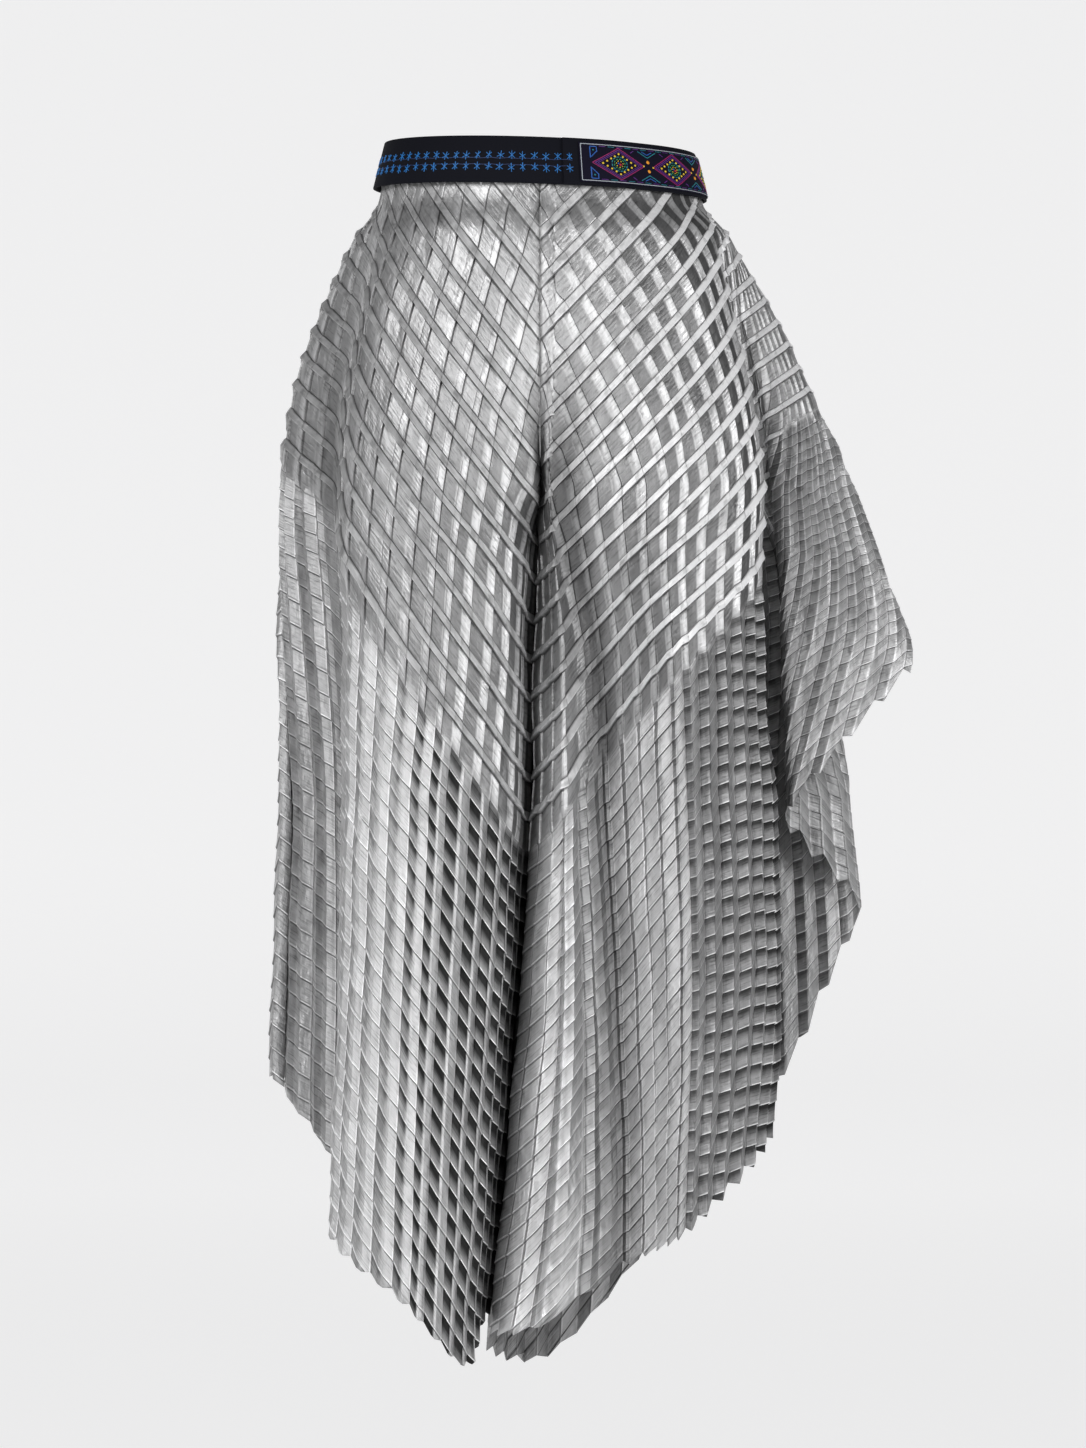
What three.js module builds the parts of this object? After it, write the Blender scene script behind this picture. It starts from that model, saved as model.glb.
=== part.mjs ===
import * as THREE from 'three';

// Cloth sizes in millimetres
const WALL = 1.6;
const SEAM_GAP = 0.25;
const TUCK_HEIGHT = 1.4;
const TUCK_END = 505;
const RIDGE_SHARE = 0.36;
const TUCK_SHARE = 0.28;
const TUCK_FROM = -45;
const FIRST_TUCK = 0.4;
const SNAP = 4;
const LEG_ROWS = 5;
const TURN_EASE = 16;
const TURN_PLEAT = 0.25;

// Waist ring
const WAIST_TILT = -0.037;
const BAND_LOW = -25.5;
const BAND_TALL = 35.5;
const PANEL_TUCKED = 8;
const CROTCH = 299;
const RISE_STRAIGHT = 200;
const RISE_DEPTH = 110;

// Line where the two legs touch, seen from the front
const PARTING = [
  [0, 0], [-200, 0], [-299, -2], [-340, -5], [-489, -7.6], [-568, -12], [-622, -16],
  [-657, -21], [-713, -24], [-789, -30], [-877, -38], [-930, -42],
];

// Depth of the upright pleats by height
const PLEAT_DEPTH = [[-20, 0.2], [-60, 2.0], [-200, 3.2], [-300, 3.8], [-420, 4.8], [-900, 5.0]];

// Heights at which the pleats are counted round each leg
const COUNT_HEIGHTS = [-20, -250, -300, -480];

// Left leg: girth along the cloth, hem height, angle at the waist, pleat counts at the four heights,
// lean of the tucks, pleat strength and turn radius, a row per fold
const LEFT_FOLDS = [
  { fold: 'inseam', girth: 0, hem: -882, waist: 0, count: [13, 6, 0, 0], lean: 0, crisp: 0.25, turn: 0 },
  { fold: 'inner face', girth: 55, hem: -884, waist: 2.5, count: [13.2, 6.5, 2.9, 3], lean: 1.05, crisp: 0.5, turn: 0 },
  { fold: 'inner bulge', girth: 106, hem: -879, waist: 5, count: [13.5, 7, 5.9, 6], lean: 1.05, crisp: 1, turn: 0 },
  { fold: 'inner valley', girth: 140, hem: -832, waist: 9, count: [13.9, 7.6, 7.4, 8], lean: 1.05, crisp: 0.7, turn: 0 },
  { fold: 'main bulge', girth: 210, hem: -804, waist: 36, count: [17, 13, 12.9, 13], lean: 1.05, crisp: 1, turn: 0 },
  { fold: 'front edge', girth: 302, hem: -742, waist: 58, count: [18.8, 18, 18.1, 19], lean: 1.05, crisp: 1, turn: 0 },
  { fold: 'side valley', girth: 360, hem: -720, waist: 65, count: [19.8, 20.3, 20.3, 21], lean: 0.9, crisp: 1, turn: 5 },
  { fold: 'side fold', girth: 430, hem: -575, waist: 70, count: [21, 23.5, 23.6, 26], lean: 0.9, crisp: 1, turn: 6 },
  { fold: 'second valley', girth: 485, hem: -498, waist: 76, count: [22.5, 26.5, 26.7, 30], lean: 0.9, crisp: 1, turn: 5 },
  { fold: 'wing', girth: 580, hem: -373, waist: 90, count: [27, 33, 33.2, 36], lean: 0.9, crisp: 1, turn: 6 },
  { fold: 'back side', girth: 680, hem: -458, waist: 112, count: [31.5, 39, 39.2, 42], lean: -1, crisp: 1, turn: 0 },
  { fold: 'back outer', girth: 748, hem: -720, waist: 130, count: [34, 43, 43.2, 46], lean: -1, crisp: 1, turn: 0 },
  { fold: 'back middle', girth: 816, hem: -835, waist: 148, count: [37, 47, 47.3, 50], lean: -1, crisp: 1, turn: 0 },
  { fold: 'back inner', girth: 886, hem: -924, waist: 166, count: [40, 51, 51.5, 54], lean: -1, crisp: 1, turn: 0 },
  { fold: 'back face', girth: 946, hem: -912, waist: 174, count: [41.5, 53, 56, 57], lean: -1, crisp: 0.5, turn: 0 },
  { fold: 'back inseam', girth: 1001, hem: -882, waist: 180, count: [42, 54, 60, 60], lean: -1, crisp: 0.25, turn: 0 },
];

// Left leg sections: out from the middle and forward or back, a column per fold of the table above
const LEFT_SECTIONS = [
  { z: -60, x: [0.2, 5, 10, 17, 88, 124, 134, 138, 141, 144, 131, 110, 74, 34, 13, 0.2],
    y: [-98, -98.5, -99, -98.5, -82, -56, -42, -33, -24, -4, 40, 64, 86, 98, 100, 100] },
  { z: -120, x: [0.2, 5, 10, 18, 100, 144, 142, 148, 155, 178, 152, 126, 82, 36, 13, 0.2],
    y: [-106, -107, -107.5, -107, -92, -62, -36, -28, -26, -10, 44, 70, 94, 106, 108, 108] },
  { z: -200, x: [0.2, 4, 8, 16, 108, 160, 152, 164, 176, 216, 176, 142, 90, 38, 13, 0.2],
    y: [-110, -112, -113, -112, -106, -74, -32, -22, -32, -20, 48, 80, 104, 112, 113, 110] },
  { z: -250, x: [0.2, 3, 7, 14, 104, 166, 150, 172, 178, 236, 186, 148, 92, 32, 6, 0.2],
    y: [-95, -104, -109, -106, -112, -78, -26, -14, -38, -26, 52, 84, 108, 110, 102, 95] },
  { z: -299, x: [-1.7, -1, 9, 21, 100, 165, 152, 194, 181, 254, 196, 152, 92, 26, 0, -1.7],
    y: [0, -55, -98, -93, -116, -80, -20, -8, -42, -30, 52, 86, 112, 104, 55, 0] },
  { z: -380, x: [-5.5, -5, 14, 38, 104, 168, 156, 217, 184, 279, 206, 156, 92, 24, -4, -5.5],
    y: [0, -55, -100, -84, -119, -78, -14, -5, -44, -32, 50, 88, 114, 102, 55, 0] },
  { z: -480, x: [-7, -6.5, 16, 46, 108, 176, 160, 230, 187, 279, 208, 156, 92, 24, -6, -7],
    y: [0, -55, -102, -80, -121, -74, -12, -5, -44, -32, 46, 90, 115, 102, 55, 0] },
  { z: -620, x: [-15.5, -15, 14, 55, 112, 180, 164, 241, 188, 279, 200, 150, 92, 20, -15, -15.5],
    y: [0, -55, -102, -79, -122, -68, -14, -6, -44, -32, 44, 92, 116, 102, 55, 0] },
  { z: -780, x: [-29, -28.5, 4, 61, 108, 172, 168, 241, 188, 279, 190, 140, 88, 8, -28, -29],
    y: [0, -55, -100, -80, -119, -62, -18, -6, -44, -32, 44, 94, 114, 100, 55, 0] },
  { z: -930, x: [-41, -40.5, -12, 60, 104, 172, 168, 241, 188, 279, 186, 130, 80, -6, -40, -41],
    y: [0, -55, -96, -84, -115, -62, -18, -6, -44, -32, 44, 94, 110, 98, 55, 0] },
];

// Right leg, same columns
const RIGHT_FOLDS = [
  { fold: 'inseam', girth: 0, hem: -868, waist: 0, count: [10, 6, 0, 0], lean: 0, crisp: 0.25, turn: 0 },
  { fold: 'inner face', girth: 55, hem: -873, waist: 4, count: [10.3, 6.5, 3, 3], lean: 1.28, crisp: 0.5, turn: 0 },
  { fold: 'inner bulge', girth: 101, hem: -905, waist: 12, count: [11, 7.8, 6.8, 6], lean: 1.28, crisp: 1, turn: 0 },
  { fold: 'main inner', girth: 161, hem: -861, waist: 30, count: [13, 11.2, 10.9, 10], lean: 1.28, crisp: 1, turn: 0 },
  { fold: 'main outer', girth: 227, hem: -811, waist: 54, count: [15.6, 14.8, 14.7, 14.5], lean: 1.3, crisp: 1, turn: 0 },
  { fold: 'side valley', girth: 285, hem: -770, waist: 70, count: [17, 17, 17, 17.5], lean: 1.3, crisp: 1, turn: 5 },
  { fold: 'side', girth: 345, hem: -697, waist: 90, count: [19.5, 20, 20.1, 21], lean: 0.75, crisp: 0.8, turn: 0 },
  { fold: 'back side', girth: 400, hem: -706, waist: 112, count: [22, 23, 23, 24], lean: -1, crisp: 1, turn: 0 },
  { fold: 'back outer', girth: 458, hem: -770, waist: 132, count: [24, 26, 26.2, 27.5], lean: -1, crisp: 1, turn: 0 },
  { fold: 'back inner', girth: 527, hem: -842, waist: 156, count: [27, 30, 30.3, 31.5], lean: -1, crisp: 1, turn: 0 },
  { fold: 'back face', girth: 604, hem: -866, waist: 174, count: [29.5, 33, 36, 36.5], lean: -1, crisp: 0.5, turn: 0 },
  { fold: 'back inseam', girth: 659, hem: -868, waist: 180, count: [30, 34, 40, 40], lean: -1, crisp: 0.25, turn: 0 },
];

const RIGHT_SECTIONS = [
  { z: -60, x: [0.2, 8, 24, 62, 106, 124, 142, 126, 100, 52, 12, 0.2],
    y: [-98, -99, -98.5, -93, -69, -48, 0, 44, 70, 91, 99, 100] },
  { z: -120, x: [0.2, 8, 26, 70, 122, 139, 169, 150, 116, 58, 12, 0.2],
    y: [-106, -107, -107, -102, -77, -45, 0, 48, 78, 100, 108, 108] },
  { z: -200, x: [0.2, 7, 28, 78, 136, 153, 192.5, 170, 126, 62, 12, 0.2],
    y: [-110, -112, -112.5, -109, -84, -43, 0, 50, 84, 106, 112, 110] },
  { z: -250, x: [0.2, 4, 26, 80, 141, 156, 198, 176, 130, 64, 6, 0.2],
    y: [-95, -103, -111, -112, -87, -42, 0, 50, 86, 107, 102, 95] },
  { z: -299, x: [2.3, 3, 22, 80, 143, 154, 199.5, 178, 132, 66, 5, 2.3],
    y: [0, -55, -104, -114, -88, -38, 0, 50, 86, 106, 55, 0] },
  { z: -380, x: [6.4, 7, 22, 80, 143, 150, 200, 180, 134, 68, 7, 6.4],
    y: [0, -55, -100, -115, -88, -33, 0, 50, 86, 106, 55, 0] },
  { z: -480, x: [8, 8.5, 24, 82, 144, 149, 200, 180, 134, 68, 8.5, 8],
    y: [0, -55, -99, -115, -88, -30, 0, 50, 86, 106, 55, 0] },
  { z: -620, x: [16.5, 17, 33, 88, 148, 148, 205, 182, 134, 66, 17, 16.5],
    y: [0, -55, -99, -114, -86, -27, 1, 50, 86, 105, 55, 0] },
  { z: -780, x: [29.5, 30, 45, 94, 156, 149, 208, 180, 130, 66, 30, 29.5],
    y: [0, -55, -98, -112, -78, -23, 3, 50, 84, 102, 55, 0] },
  { z: -930, x: [42, 42.5, 54, 98, 162, 150, 208, 178, 128, 66, 42.5, 42],
    y: [0, -55, -96, -109, -70, -22, 4, 50, 82, 100, 55, 0] },
];

const LEFT = { side: 1, folds: LEFT_FOLDS, sections: LEFT_SECTIONS, tuck: 32, crest: 9, plainFrom: 37.5 };
const RIGHT = { side: -1, folds: RIGHT_FOLDS, sections: RIGHT_SECTIONS, tuck: 35, crest: 6, plainFrom: 22 };

// Finishes
const SATIN = new THREE.MeshStandardMaterial({ color: 0xb4b4b6, metalness: 0.85, roughness: 0.42 });
const BAND_CLOTH = new THREE.MeshStandardMaterial({ color: 0x0c0e1a, metalness: 0, roughness: 0.8 });
const TRIMMING = new THREE.MeshStandardMaterial({ color: 0x241a38, metalness: 0, roughness: 0.75 });

// Small maths
const clamp = (v, a, b) => Math.min(b, Math.max(a, v));
const lerp = (a, b, f) => a + (b - a) * f;

function along(rows, v) {
  const down = rows[0][0] > rows[rows.length - 1][0];
  const key = down ? -v : v;
  const at = (i) => (down ? -rows[i][0] : rows[i][0]);
  if (key <= at(0)) return rows[0][1];
  for (let i = 1; i < rows.length; i++) {
    if (key <= at(i)) return lerp(rows[i - 1][1], rows[i][1], (key - at(i - 1)) / (at(i) - at(i - 1)));
  }
  return rows[rows.length - 1][1];
}

// Smooth curve through values, with no overshoot
function smooth(keys, values, key) {
  const n = keys.length;
  if (key <= keys[0]) return values[0];
  if (key >= keys[n - 1]) return values[n - 1];
  let i = 0;
  while (key > keys[i + 1]) i++;
  const slope = (a) => (values[a + 1] - values[a]) / (keys[a + 1] - keys[a]);
  const tangent = (a) => {
    if (a === 0 || a === n - 1) return 0;
    const before = slope(a - 1);
    const after = slope(a);
    return before * after <= 0 ? 0 : (2 * before * after) / (before + after);
  };
  const h = keys[i + 1] - keys[i];
  const f = (key - keys[i]) / h;
  const f2 = f * f;
  const f3 = f2 * f;
  return (2 * f3 - 3 * f2 + 1) * values[i] + (f3 - 2 * f2 + f) * h * tangent(i)
    + (-2 * f3 + 3 * f2) * values[i + 1] + (f3 - f2) * h * tangent(i + 1);
}

// Depth of the seat seam below the straight part of the rise
function riseDepth(z) {
  const q = clamp((-z - RISE_STRAIGHT) / (CROTCH - RISE_STRAIGHT), 0, 1);
  return Math.max(SEAM_GAP, RISE_DEPTH * Math.sqrt(1 - q * q));
}

// Waist oval at a height above the sections
const WAIST_OVALS = [[-15, 120.0, 84.2], [-33, 123.4, 87.4]];

function sectionAt(leg, z) {
  const cached = leg.cache.get(z);
  if (cached) return cached;
  const { folds, sections } = leg;
  const count = folds.length;
  const keys = WAIST_OVALS.map((row) => -row[0]).concat(sections.map((row) => -row.z));
  const points = [];
  for (let k = 0; k < count; k++) {
    const angle = (folds[k].waist * Math.PI) / 180;
    const xs = WAIST_OVALS.map((row) => row[1] * Math.sin(angle)).concat(sections.map((row) => row.x[k]));
    const ys = WAIST_OVALS.map((row) => -row[2] * Math.cos(angle)).concat(sections.map((row) => row.y[k]));
    const first = k === 0;
    const last = k === count - 1;
    let y = smooth(keys, ys, -z);
    if ((first || last) && z < -RISE_STRAIGHT) y = first ? -riseDepth(z) : riseDepth(z);
    points.push([smooth(keys, xs, -z), y]);
  }
  // Two points round every sharp turn
  const knots = [];
  for (let k = 0; k < count; k++) {
    const turn = folds[k].turn;
    if (!turn) {
      knots.push([folds[k].girth, points[k][0], points[k][1]]);
      continue;
    }
    const unit = (a, b) => {
      const d = Math.hypot(b[0] - a[0], b[1] - a[1]) || 1;
      return [(b[0] - a[0]) / d, (b[1] - a[1]) / d];
    };
    const back = unit(points[k], points[k - 1]);
    const ahead = unit(points[k], points[k + 1]);
    const c = unit(back, ahead);
    const near = Math.min(
      Math.hypot(points[k][0] - points[k - 1][0], points[k][1] - points[k - 1][1]),
      Math.hypot(points[k][0] - points[k + 1][0], points[k][1] - points[k + 1][1]),
    );
    const r = Math.min(turn, near * 0.3);
    knots.push([folds[k].girth - turn, points[k][0] - c[0] * r, points[k][1] - c[1] * r]);
    knots.push([folds[k].girth + turn, points[k][0] + c[0] * r, points[k][1] + c[1] * r]);
  }
  // Rise of the tucks from the middle out to the crest fold, then down again behind
  const rise = [0];
  for (let k = 1; k < count; k++) {
    const sideways = Math.abs(points[k][0] - points[k - 1][0]);
    const inside = k < 3 || k > count - 3;
    const step = inside ? sideways : Math.hypot(sideways, points[k][1] - points[k - 1][1]);
    rise.push(rise[k - 1] + step * Math.abs(folds[k].lean));
  }
  const crest = rise[leg.crest];
  const tail = rise[count - 1] - crest;
  for (let k = leg.crest + 1; k < count; k++) rise[k] = crest * (1 - (rise[k] - crest) / tail);
  const counts = folds.map((row) => along(COUNT_HEIGHTS.map((h, i) => [h, row.count[i]]), z));
  const made = { knots, rise, counts };
  leg.cache.set(z, made);
  return made;
}

// Girth position of an upright pleat line at a height
function girthOf(leg, pleat, z) {
  const { counts } = sectionAt(leg, z);
  const { folds } = leg;
  for (let k = 1; k < counts.length; k++) {
    if (pleat <= counts[k] || k === counts.length - 1) {
      const f = clamp((pleat - counts[k - 1]) / (counts[k] - counts[k - 1]), 0, 1);
      return lerp(folds[k - 1].girth, folds[k].girth, f);
    }
  }
  return 0;
}

function foldValue(leg, girth, column) {
  return smooth(leg.folds.map((row) => row.girth), leg.folds.map((row) => row[column]), girth);
}

// Pleats flatten where the cloth turns back on itself
function nearTurn(leg, girth) {
  let share = 1;
  for (const row of leg.folds) {
    if (!row.turn) continue;
    share = Math.min(share, clamp((Math.abs(girth - row.girth) - row.turn) / TURN_EASE, TURN_PLEAT, 1));
  }
  return share;
}

// Base cloth position, as out from the middle, forward and up
function clothAt(leg, girth, z) {
  const { knots } = sectionAt(leg, z);
  const n = knots.length;
  let i = 0;
  while (i < n - 2 && girth > knots[i + 1][0]) i++;
  const h = knots[i + 1][0] - knots[i][0];
  const f = clamp((girth - knots[i][0]) / h, 0, 1);
  const tangent = (a, c) => {
    if (a === 0) return (knots[1][c] - knots[0][c]) / (knots[1][0] - knots[0][0]);
    if (a === n - 1) return (knots[a][c] - knots[a - 1][c]) / (knots[a][0] - knots[a - 1][0]);
    return (knots[a + 1][c] - knots[a - 1][c]) / (knots[a + 1][0] - knots[a - 1][0]);
  };
  const f2 = f * f;
  const f3 = f2 * f;
  const value = (c) => (2 * f3 - 3 * f2 + 1) * knots[i][c] + (f3 - 2 * f2 + f) * h * tangent(i, c)
    + (-2 * f3 + 3 * f2) * knots[i + 1][c] + (f3 - f2) * h * tangent(i + 1, c);
  return new THREE.Vector3(value(1), value(2), z);
}

function outward(leg, girth, z) {
  const last = leg.folds[leg.folds.length - 1].girth;
  const a = clothAt(leg, clamp(girth - 2, 0, last), z);
  const b = clothAt(leg, clamp(girth + 2, 0, last), z);
  const up = clothAt(leg, girth, z + 4).sub(clothAt(leg, girth, z - 4));
  return b.sub(a).cross(up).normalize();
}

function tuckHeight(leg, pleat, z) {
  const { rise } = sectionAt(leg, z);
  const girth = girthOf(leg, pleat, z);
  const rows = leg.folds.map((row, k) => [row.girth, rise[k]]);
  return -z + along(rows, girth);
}

// Top of a pleat line: on the seat seam in the middle, under the band elsewhere
function topOf(leg, pleat) {
  const front = leg.folds[0].count;
  const back = leg.folds[leg.folds.length - 1].count;
  const seam = pleat < front[0] ? front : pleat > back[0] ? back : null;
  if (seam) {
    for (let i = 1; i < 3; i++) {
      const inside = (pleat - seam[i - 1]) * (pleat - seam[i]) <= 0;
      if (inside) return lerp(COUNT_HEIGHTS[i - 1], COUNT_HEIGHTS[i], (pleat - seam[i - 1]) / (seam[i] - seam[i - 1]));
    }
    return COUNT_HEIGHTS[2];
  }
  const x = clothAt(leg, girthOf(leg, pleat, -20), -20).x * leg.side;
  return BAND_LOW + PANEL_TUCKED + WAIST_TILT * x;
}

function heightWhere(leg, pleat, level, top, low) {
  let a = top;
  let b = low;
  if (tuckHeight(leg, pleat, a) >= level) return a;
  if (tuckHeight(leg, pleat, b) <= level) return b;
  for (let i = 0; i < 22; i++) {
    const mid = (a + b) / 2;
    if (tuckHeight(leg, pleat, mid) < level) a = mid;
    else b = mid;
  }
  return Math.round(a * 50) / 50;
}

// Outer or inner skin point of the wall
function skinPoint(leg, pleat, z, down, tuck, inner) {
  const girth = girthOf(leg, pleat, z);
  const base = clothAt(leg, girth, z);
  const normal = outward(leg, girth, z);
  const span = clothAt(leg, girthOf(leg, pleat + 0.4, z), z)
    .distanceTo(clothAt(leg, girthOf(leg, pleat - 0.4, z), z)) / 0.8;
  const crisp = foldValue(leg, girth, 'crisp') * nearTurn(leg, girth);
  const depth = Math.min(along(PLEAT_DEPTH, z) * crisp, span * 0.3);
  const out = base.clone().addScaledVector(normal, -down * depth + tuck);
  const limit = leg.side > 0 ? along(PARTING, z) + SEAM_GAP : SEAM_GAP - along(PARTING, z);
  const shift = Math.max(0, limit - out.x);
  if (inner) out.addScaledVector(normal, -WALL - tuck);
  out.x = (out.x + shift) * leg.side;
  return out;
}

// Closed mesh from triangles of points, points that meet are merged
function solid(name, triangles, finish) {
  const index = new Map();
  const positions = [];
  const faces = [];
  const idOf = (p) => {
    const key = [p.x, p.y, p.z].map((v) => Math.round(v * 2000)).join();
    if (!index.has(key)) {
      index.set(key, positions.length / 3);
      positions.push(p.x, p.y, p.z);
    }
    return index.get(key);
  };
  let volume = 0;
  for (const [a, b, c] of triangles) {
    const ids = [idOf(a), idOf(b), idOf(c)];
    if (ids[0] === ids[1] || ids[1] === ids[2] || ids[0] === ids[2]) continue;
    faces.push(ids);
    volume += a.dot(b.clone().cross(c));
  }
  const geometry = new THREE.BufferGeometry();
  geometry.setAttribute('position', new THREE.Float32BufferAttribute(positions, 3));
  geometry.setIndex(faces.flatMap((ids) => (volume < 0 ? [ids[0], ids[2], ids[1]] : ids)));
  const mesh = new THREE.Mesh(geometry, finish);
  mesh.name = name;
  return mesh;
}

function zip(triangles, a, b, flip) {
  let i = 0;
  let j = 0;
  const add = (p, q, r) => triangles.push(flip ? [p, r, q] : [p, q, r]);
  while (i < a.length - 1 || j < b.length - 1) {
    const takeA = j === b.length - 1 || (i < a.length - 1 && a[i + 1].row <= b[j + 1].row);
    if (takeA) {
      add(a[i].point, a[i + 1].point, b[j].point);
      i++;
    } else {
      add(a[i].point, b[j + 1].point, b[j].point);
      j++;
    }
  }
}

// One panel between two pleat lines
function panel(name, leg, from, to) {
  const lines = [];
  for (let k = Math.floor(from); k <= to; k++) {
    for (const share of [0, RIDGE_SHARE]) {
      const pleat = k + share;
      if (pleat > from + 0.12 && pleat < to - 0.12) lines.push({ pleat, down: share ? 1 : 0 });
    }
  }
  lines.unshift({ pleat: from, down: 0 });
  lines.push({ pleat: to, down: 0 });
  const tuckRows = Math.floor(TUCK_END / leg.tuck);
  const outer = [];
  const inner = [];
  for (const { pleat, down } of lines) {
    const top = topOf(leg, pleat);
    const low = foldValue(leg, girthOf(leg, pleat, -600), 'hem');
    const outerLine = [];
    const innerLine = [];
    const put = (line, row, z, tuck, isInner) => {
      line.push({ row, point: skinPoint(leg, pleat, z, down, tuck, isInner) });
    };
    put(outerLine, 0, top, 0, false);
    put(innerLine, 0, top, 0, true);
    const end = heightWhere(leg, pleat, TUCK_END, top, low);
    for (let m = 0; m < tuckRows; m++) {
      for (const part of [0, 1]) {
        const step = part && pleat < leg.plainFrom ? TUCK_SHARE : 0;
        const level = leg.tuck * (m + step + FIRST_TUCK);
        let z = heightWhere(leg, pleat, level, top, low);
        if (top - z < SNAP) z = top;
        if (z - low < SNAP) z = low;
        const raised = step && z < top && z > low && z < TUCK_FROM ? TUCK_HEIGHT : 0;
        put(outerLine, 1 + m * 2 + part, z, raised, false);
        if (!part) put(innerLine, 1 + m * 2, z, 0, true);
      }
    }
    for (let j = 0; j <= LEG_ROWS; j++) {
      const z = lerp(end, low, j / LEG_ROWS);
      put(outerLine, 1 + tuckRows * 2 + j, z, 0, false);
      put(innerLine, 1 + tuckRows * 2 + j, z, 0, true);
    }
    outer.push(outerLine);
    inner.push(innerLine);
  }
  const triangles = [];
  const sheet = (grid, flip) => {
    for (let c = 0; c + 1 < grid.length; c++) {
      for (let r = 0; r + 1 < grid[c].length; r++) {
        const p = grid[c][r].point;
        const q = grid[c + 1][r].point;
        const s = grid[c + 1][r + 1].point;
        const t = grid[c][r + 1].point;
        if (flip) triangles.push([p, s, q], [p, t, s]);
        else triangles.push([p, q, s], [p, s, t]);
      }
    }
  };
  sheet(outer, false);
  sheet(inner, true);
  const rim = (pick, flip) => {
    for (let c = 0; c + 1 < outer.length; c++) {
      const a = pick(outer[c]).point;
      const b = pick(outer[c + 1]).point;
      const d = pick(inner[c]).point;
      const e = pick(inner[c + 1]).point;
      if (flip) triangles.push([a, b, e], [a, e, d]);
      else triangles.push([a, e, b], [a, d, e]);
    }
  };
  rim((line) => line[0], false);
  rim((line) => line[line.length - 1], true);
  zip(triangles, outer[0], inner[0], false);
  zip(triangles, outer[outer.length - 1], inner[inner.length - 1], true);
  return solid(name, triangles, SATIN);
}

// Waistband: a strip round the waist whose front end laps over its start
const BAND_THICK = 2.2;
const BAND_TOP_OVAL = [118, 85];
const BAND_LOW_OVAL = [127, 91];
const LAP_END = 8;
const LAP_START = 22;
const LAP_RAMP = 20;
const LAP_GAP = 0.4;
const BAND_STEPS = 54;

// Angle in degrees from the middle front towards the left side of the wearer
function bandPoint(angle, up, out) {
  const f = up / BAND_TALL;
  const a = lerp(BAND_LOW_OVAL[0], BAND_TOP_OVAL[0], f) + out;
  const b = lerp(BAND_LOW_OVAL[1], BAND_TOP_OVAL[1], f) + out;
  const t = (angle * Math.PI) / 180;
  const x = a * Math.sin(t);
  return new THREE.Vector3(x, -b * Math.cos(t), BAND_LOW + up + WAIST_TILT * x);
}

function lapLift(angle) {
  const f = clamp((LAP_START + LAP_RAMP - angle) / LAP_RAMP, 0, 1);
  return (BAND_THICK + LAP_GAP) * f * f * (3 - 2 * f);
}

function strip(name, finish, angles, profile, place) {
  const triangles = [];
  const rings = angles.map((angle) => profile.map((row) => place(angle, row)));
  const n = profile.length;
  for (let i = 0; i + 1 < rings.length; i++) {
    for (let j = 0; j < n; j++) {
      const k = (j + 1) % n;
      triangles.push([rings[i][j], rings[i + 1][j], rings[i + 1][k]], [rings[i][j], rings[i + 1][k], rings[i][k]]);
    }
  }
  const first = rings[0];
  const last = rings[rings.length - 1];
  for (let j = 1; j + 1 < n; j++) {
    triangles.push([first[0], first[j], first[j + 1]]);
    triangles.push([last[0], last[j + 1], last[j]]);
  }
  return solid(name, triangles, finish);
}

function waistband() {
  const angles = [];
  const total = 360 - LAP_END + LAP_START;
  for (let i = 0; i <= BAND_STEPS; i++) angles.push(LAP_START - (total * i) / BAND_STEPS);
  const profile = [[0, 0.5], [0.9, 0], [BAND_TALL - 0.9, 0], [BAND_TALL, 0.5], [BAND_TALL, BAND_THICK - 0.5],
    [BAND_TALL - 0.9, BAND_THICK], [0.9, BAND_THICK], [0, BAND_THICK - 0.5]];
  return strip('waistband', BAND_CLOTH, angles, profile, (angle, [up, inward]) => {
    const outer = angle < -180 ? lapLift(angle + 360) : 0;
    return bandPoint(angle, up, outer - inward);
  });
}

// Trimming laid on the band, its outline follows the band
const RIBBON_FROM = 13.5;
const RIBBON_TO = 118;
const RIBBON_LOW = 2.6;
const RIBBON_TOP = 32.6;
const RIBBON_THICK = 1.0;
const RIBBON_STEPS = 26;
const RIBBON_GAP = 0.35;

function ornamentRibbon() {
  const angles = [];
  for (let i = 0; i <= RIBBON_STEPS; i++) angles.push(lerp(RIBBON_FROM, RIBBON_TO, i / RIBBON_STEPS));
  const profile = [[RIBBON_LOW, 0], [RIBBON_TOP, 0], [RIBBON_TOP, RIBBON_THICK - 0.3],
    [RIBBON_TOP - 0.8, RIBBON_THICK], [RIBBON_LOW + 0.8, RIBBON_THICK], [RIBBON_LOW, RIBBON_THICK - 0.3]];
  return strip('ornament_ribbon', TRIMMING, angles, profile, (angle, [up, out]) => (
    bandPoint(angle, up, lapLift(angle) + RIBBON_GAP + out)
  ));
}

LEFT.cache = new Map();
RIGHT.cache = new Map();
const group = new THREE.Group();
group.name = 'pleated_trousers';
group.add(panel('right_front_panel', RIGHT, 0, 19.99));
group.add(panel('right_back_panel', RIGHT, 20.01, 40));
group.add(panel('left_front_panel', LEFT, 0, 20.48));
group.add(panel('left_back_panel', LEFT, 20.52, 60));
group.add(waistband());
group.add(ornamentRibbon());

export default group;
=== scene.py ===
import math
from collections import namedtuple
from functools import reduce

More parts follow.
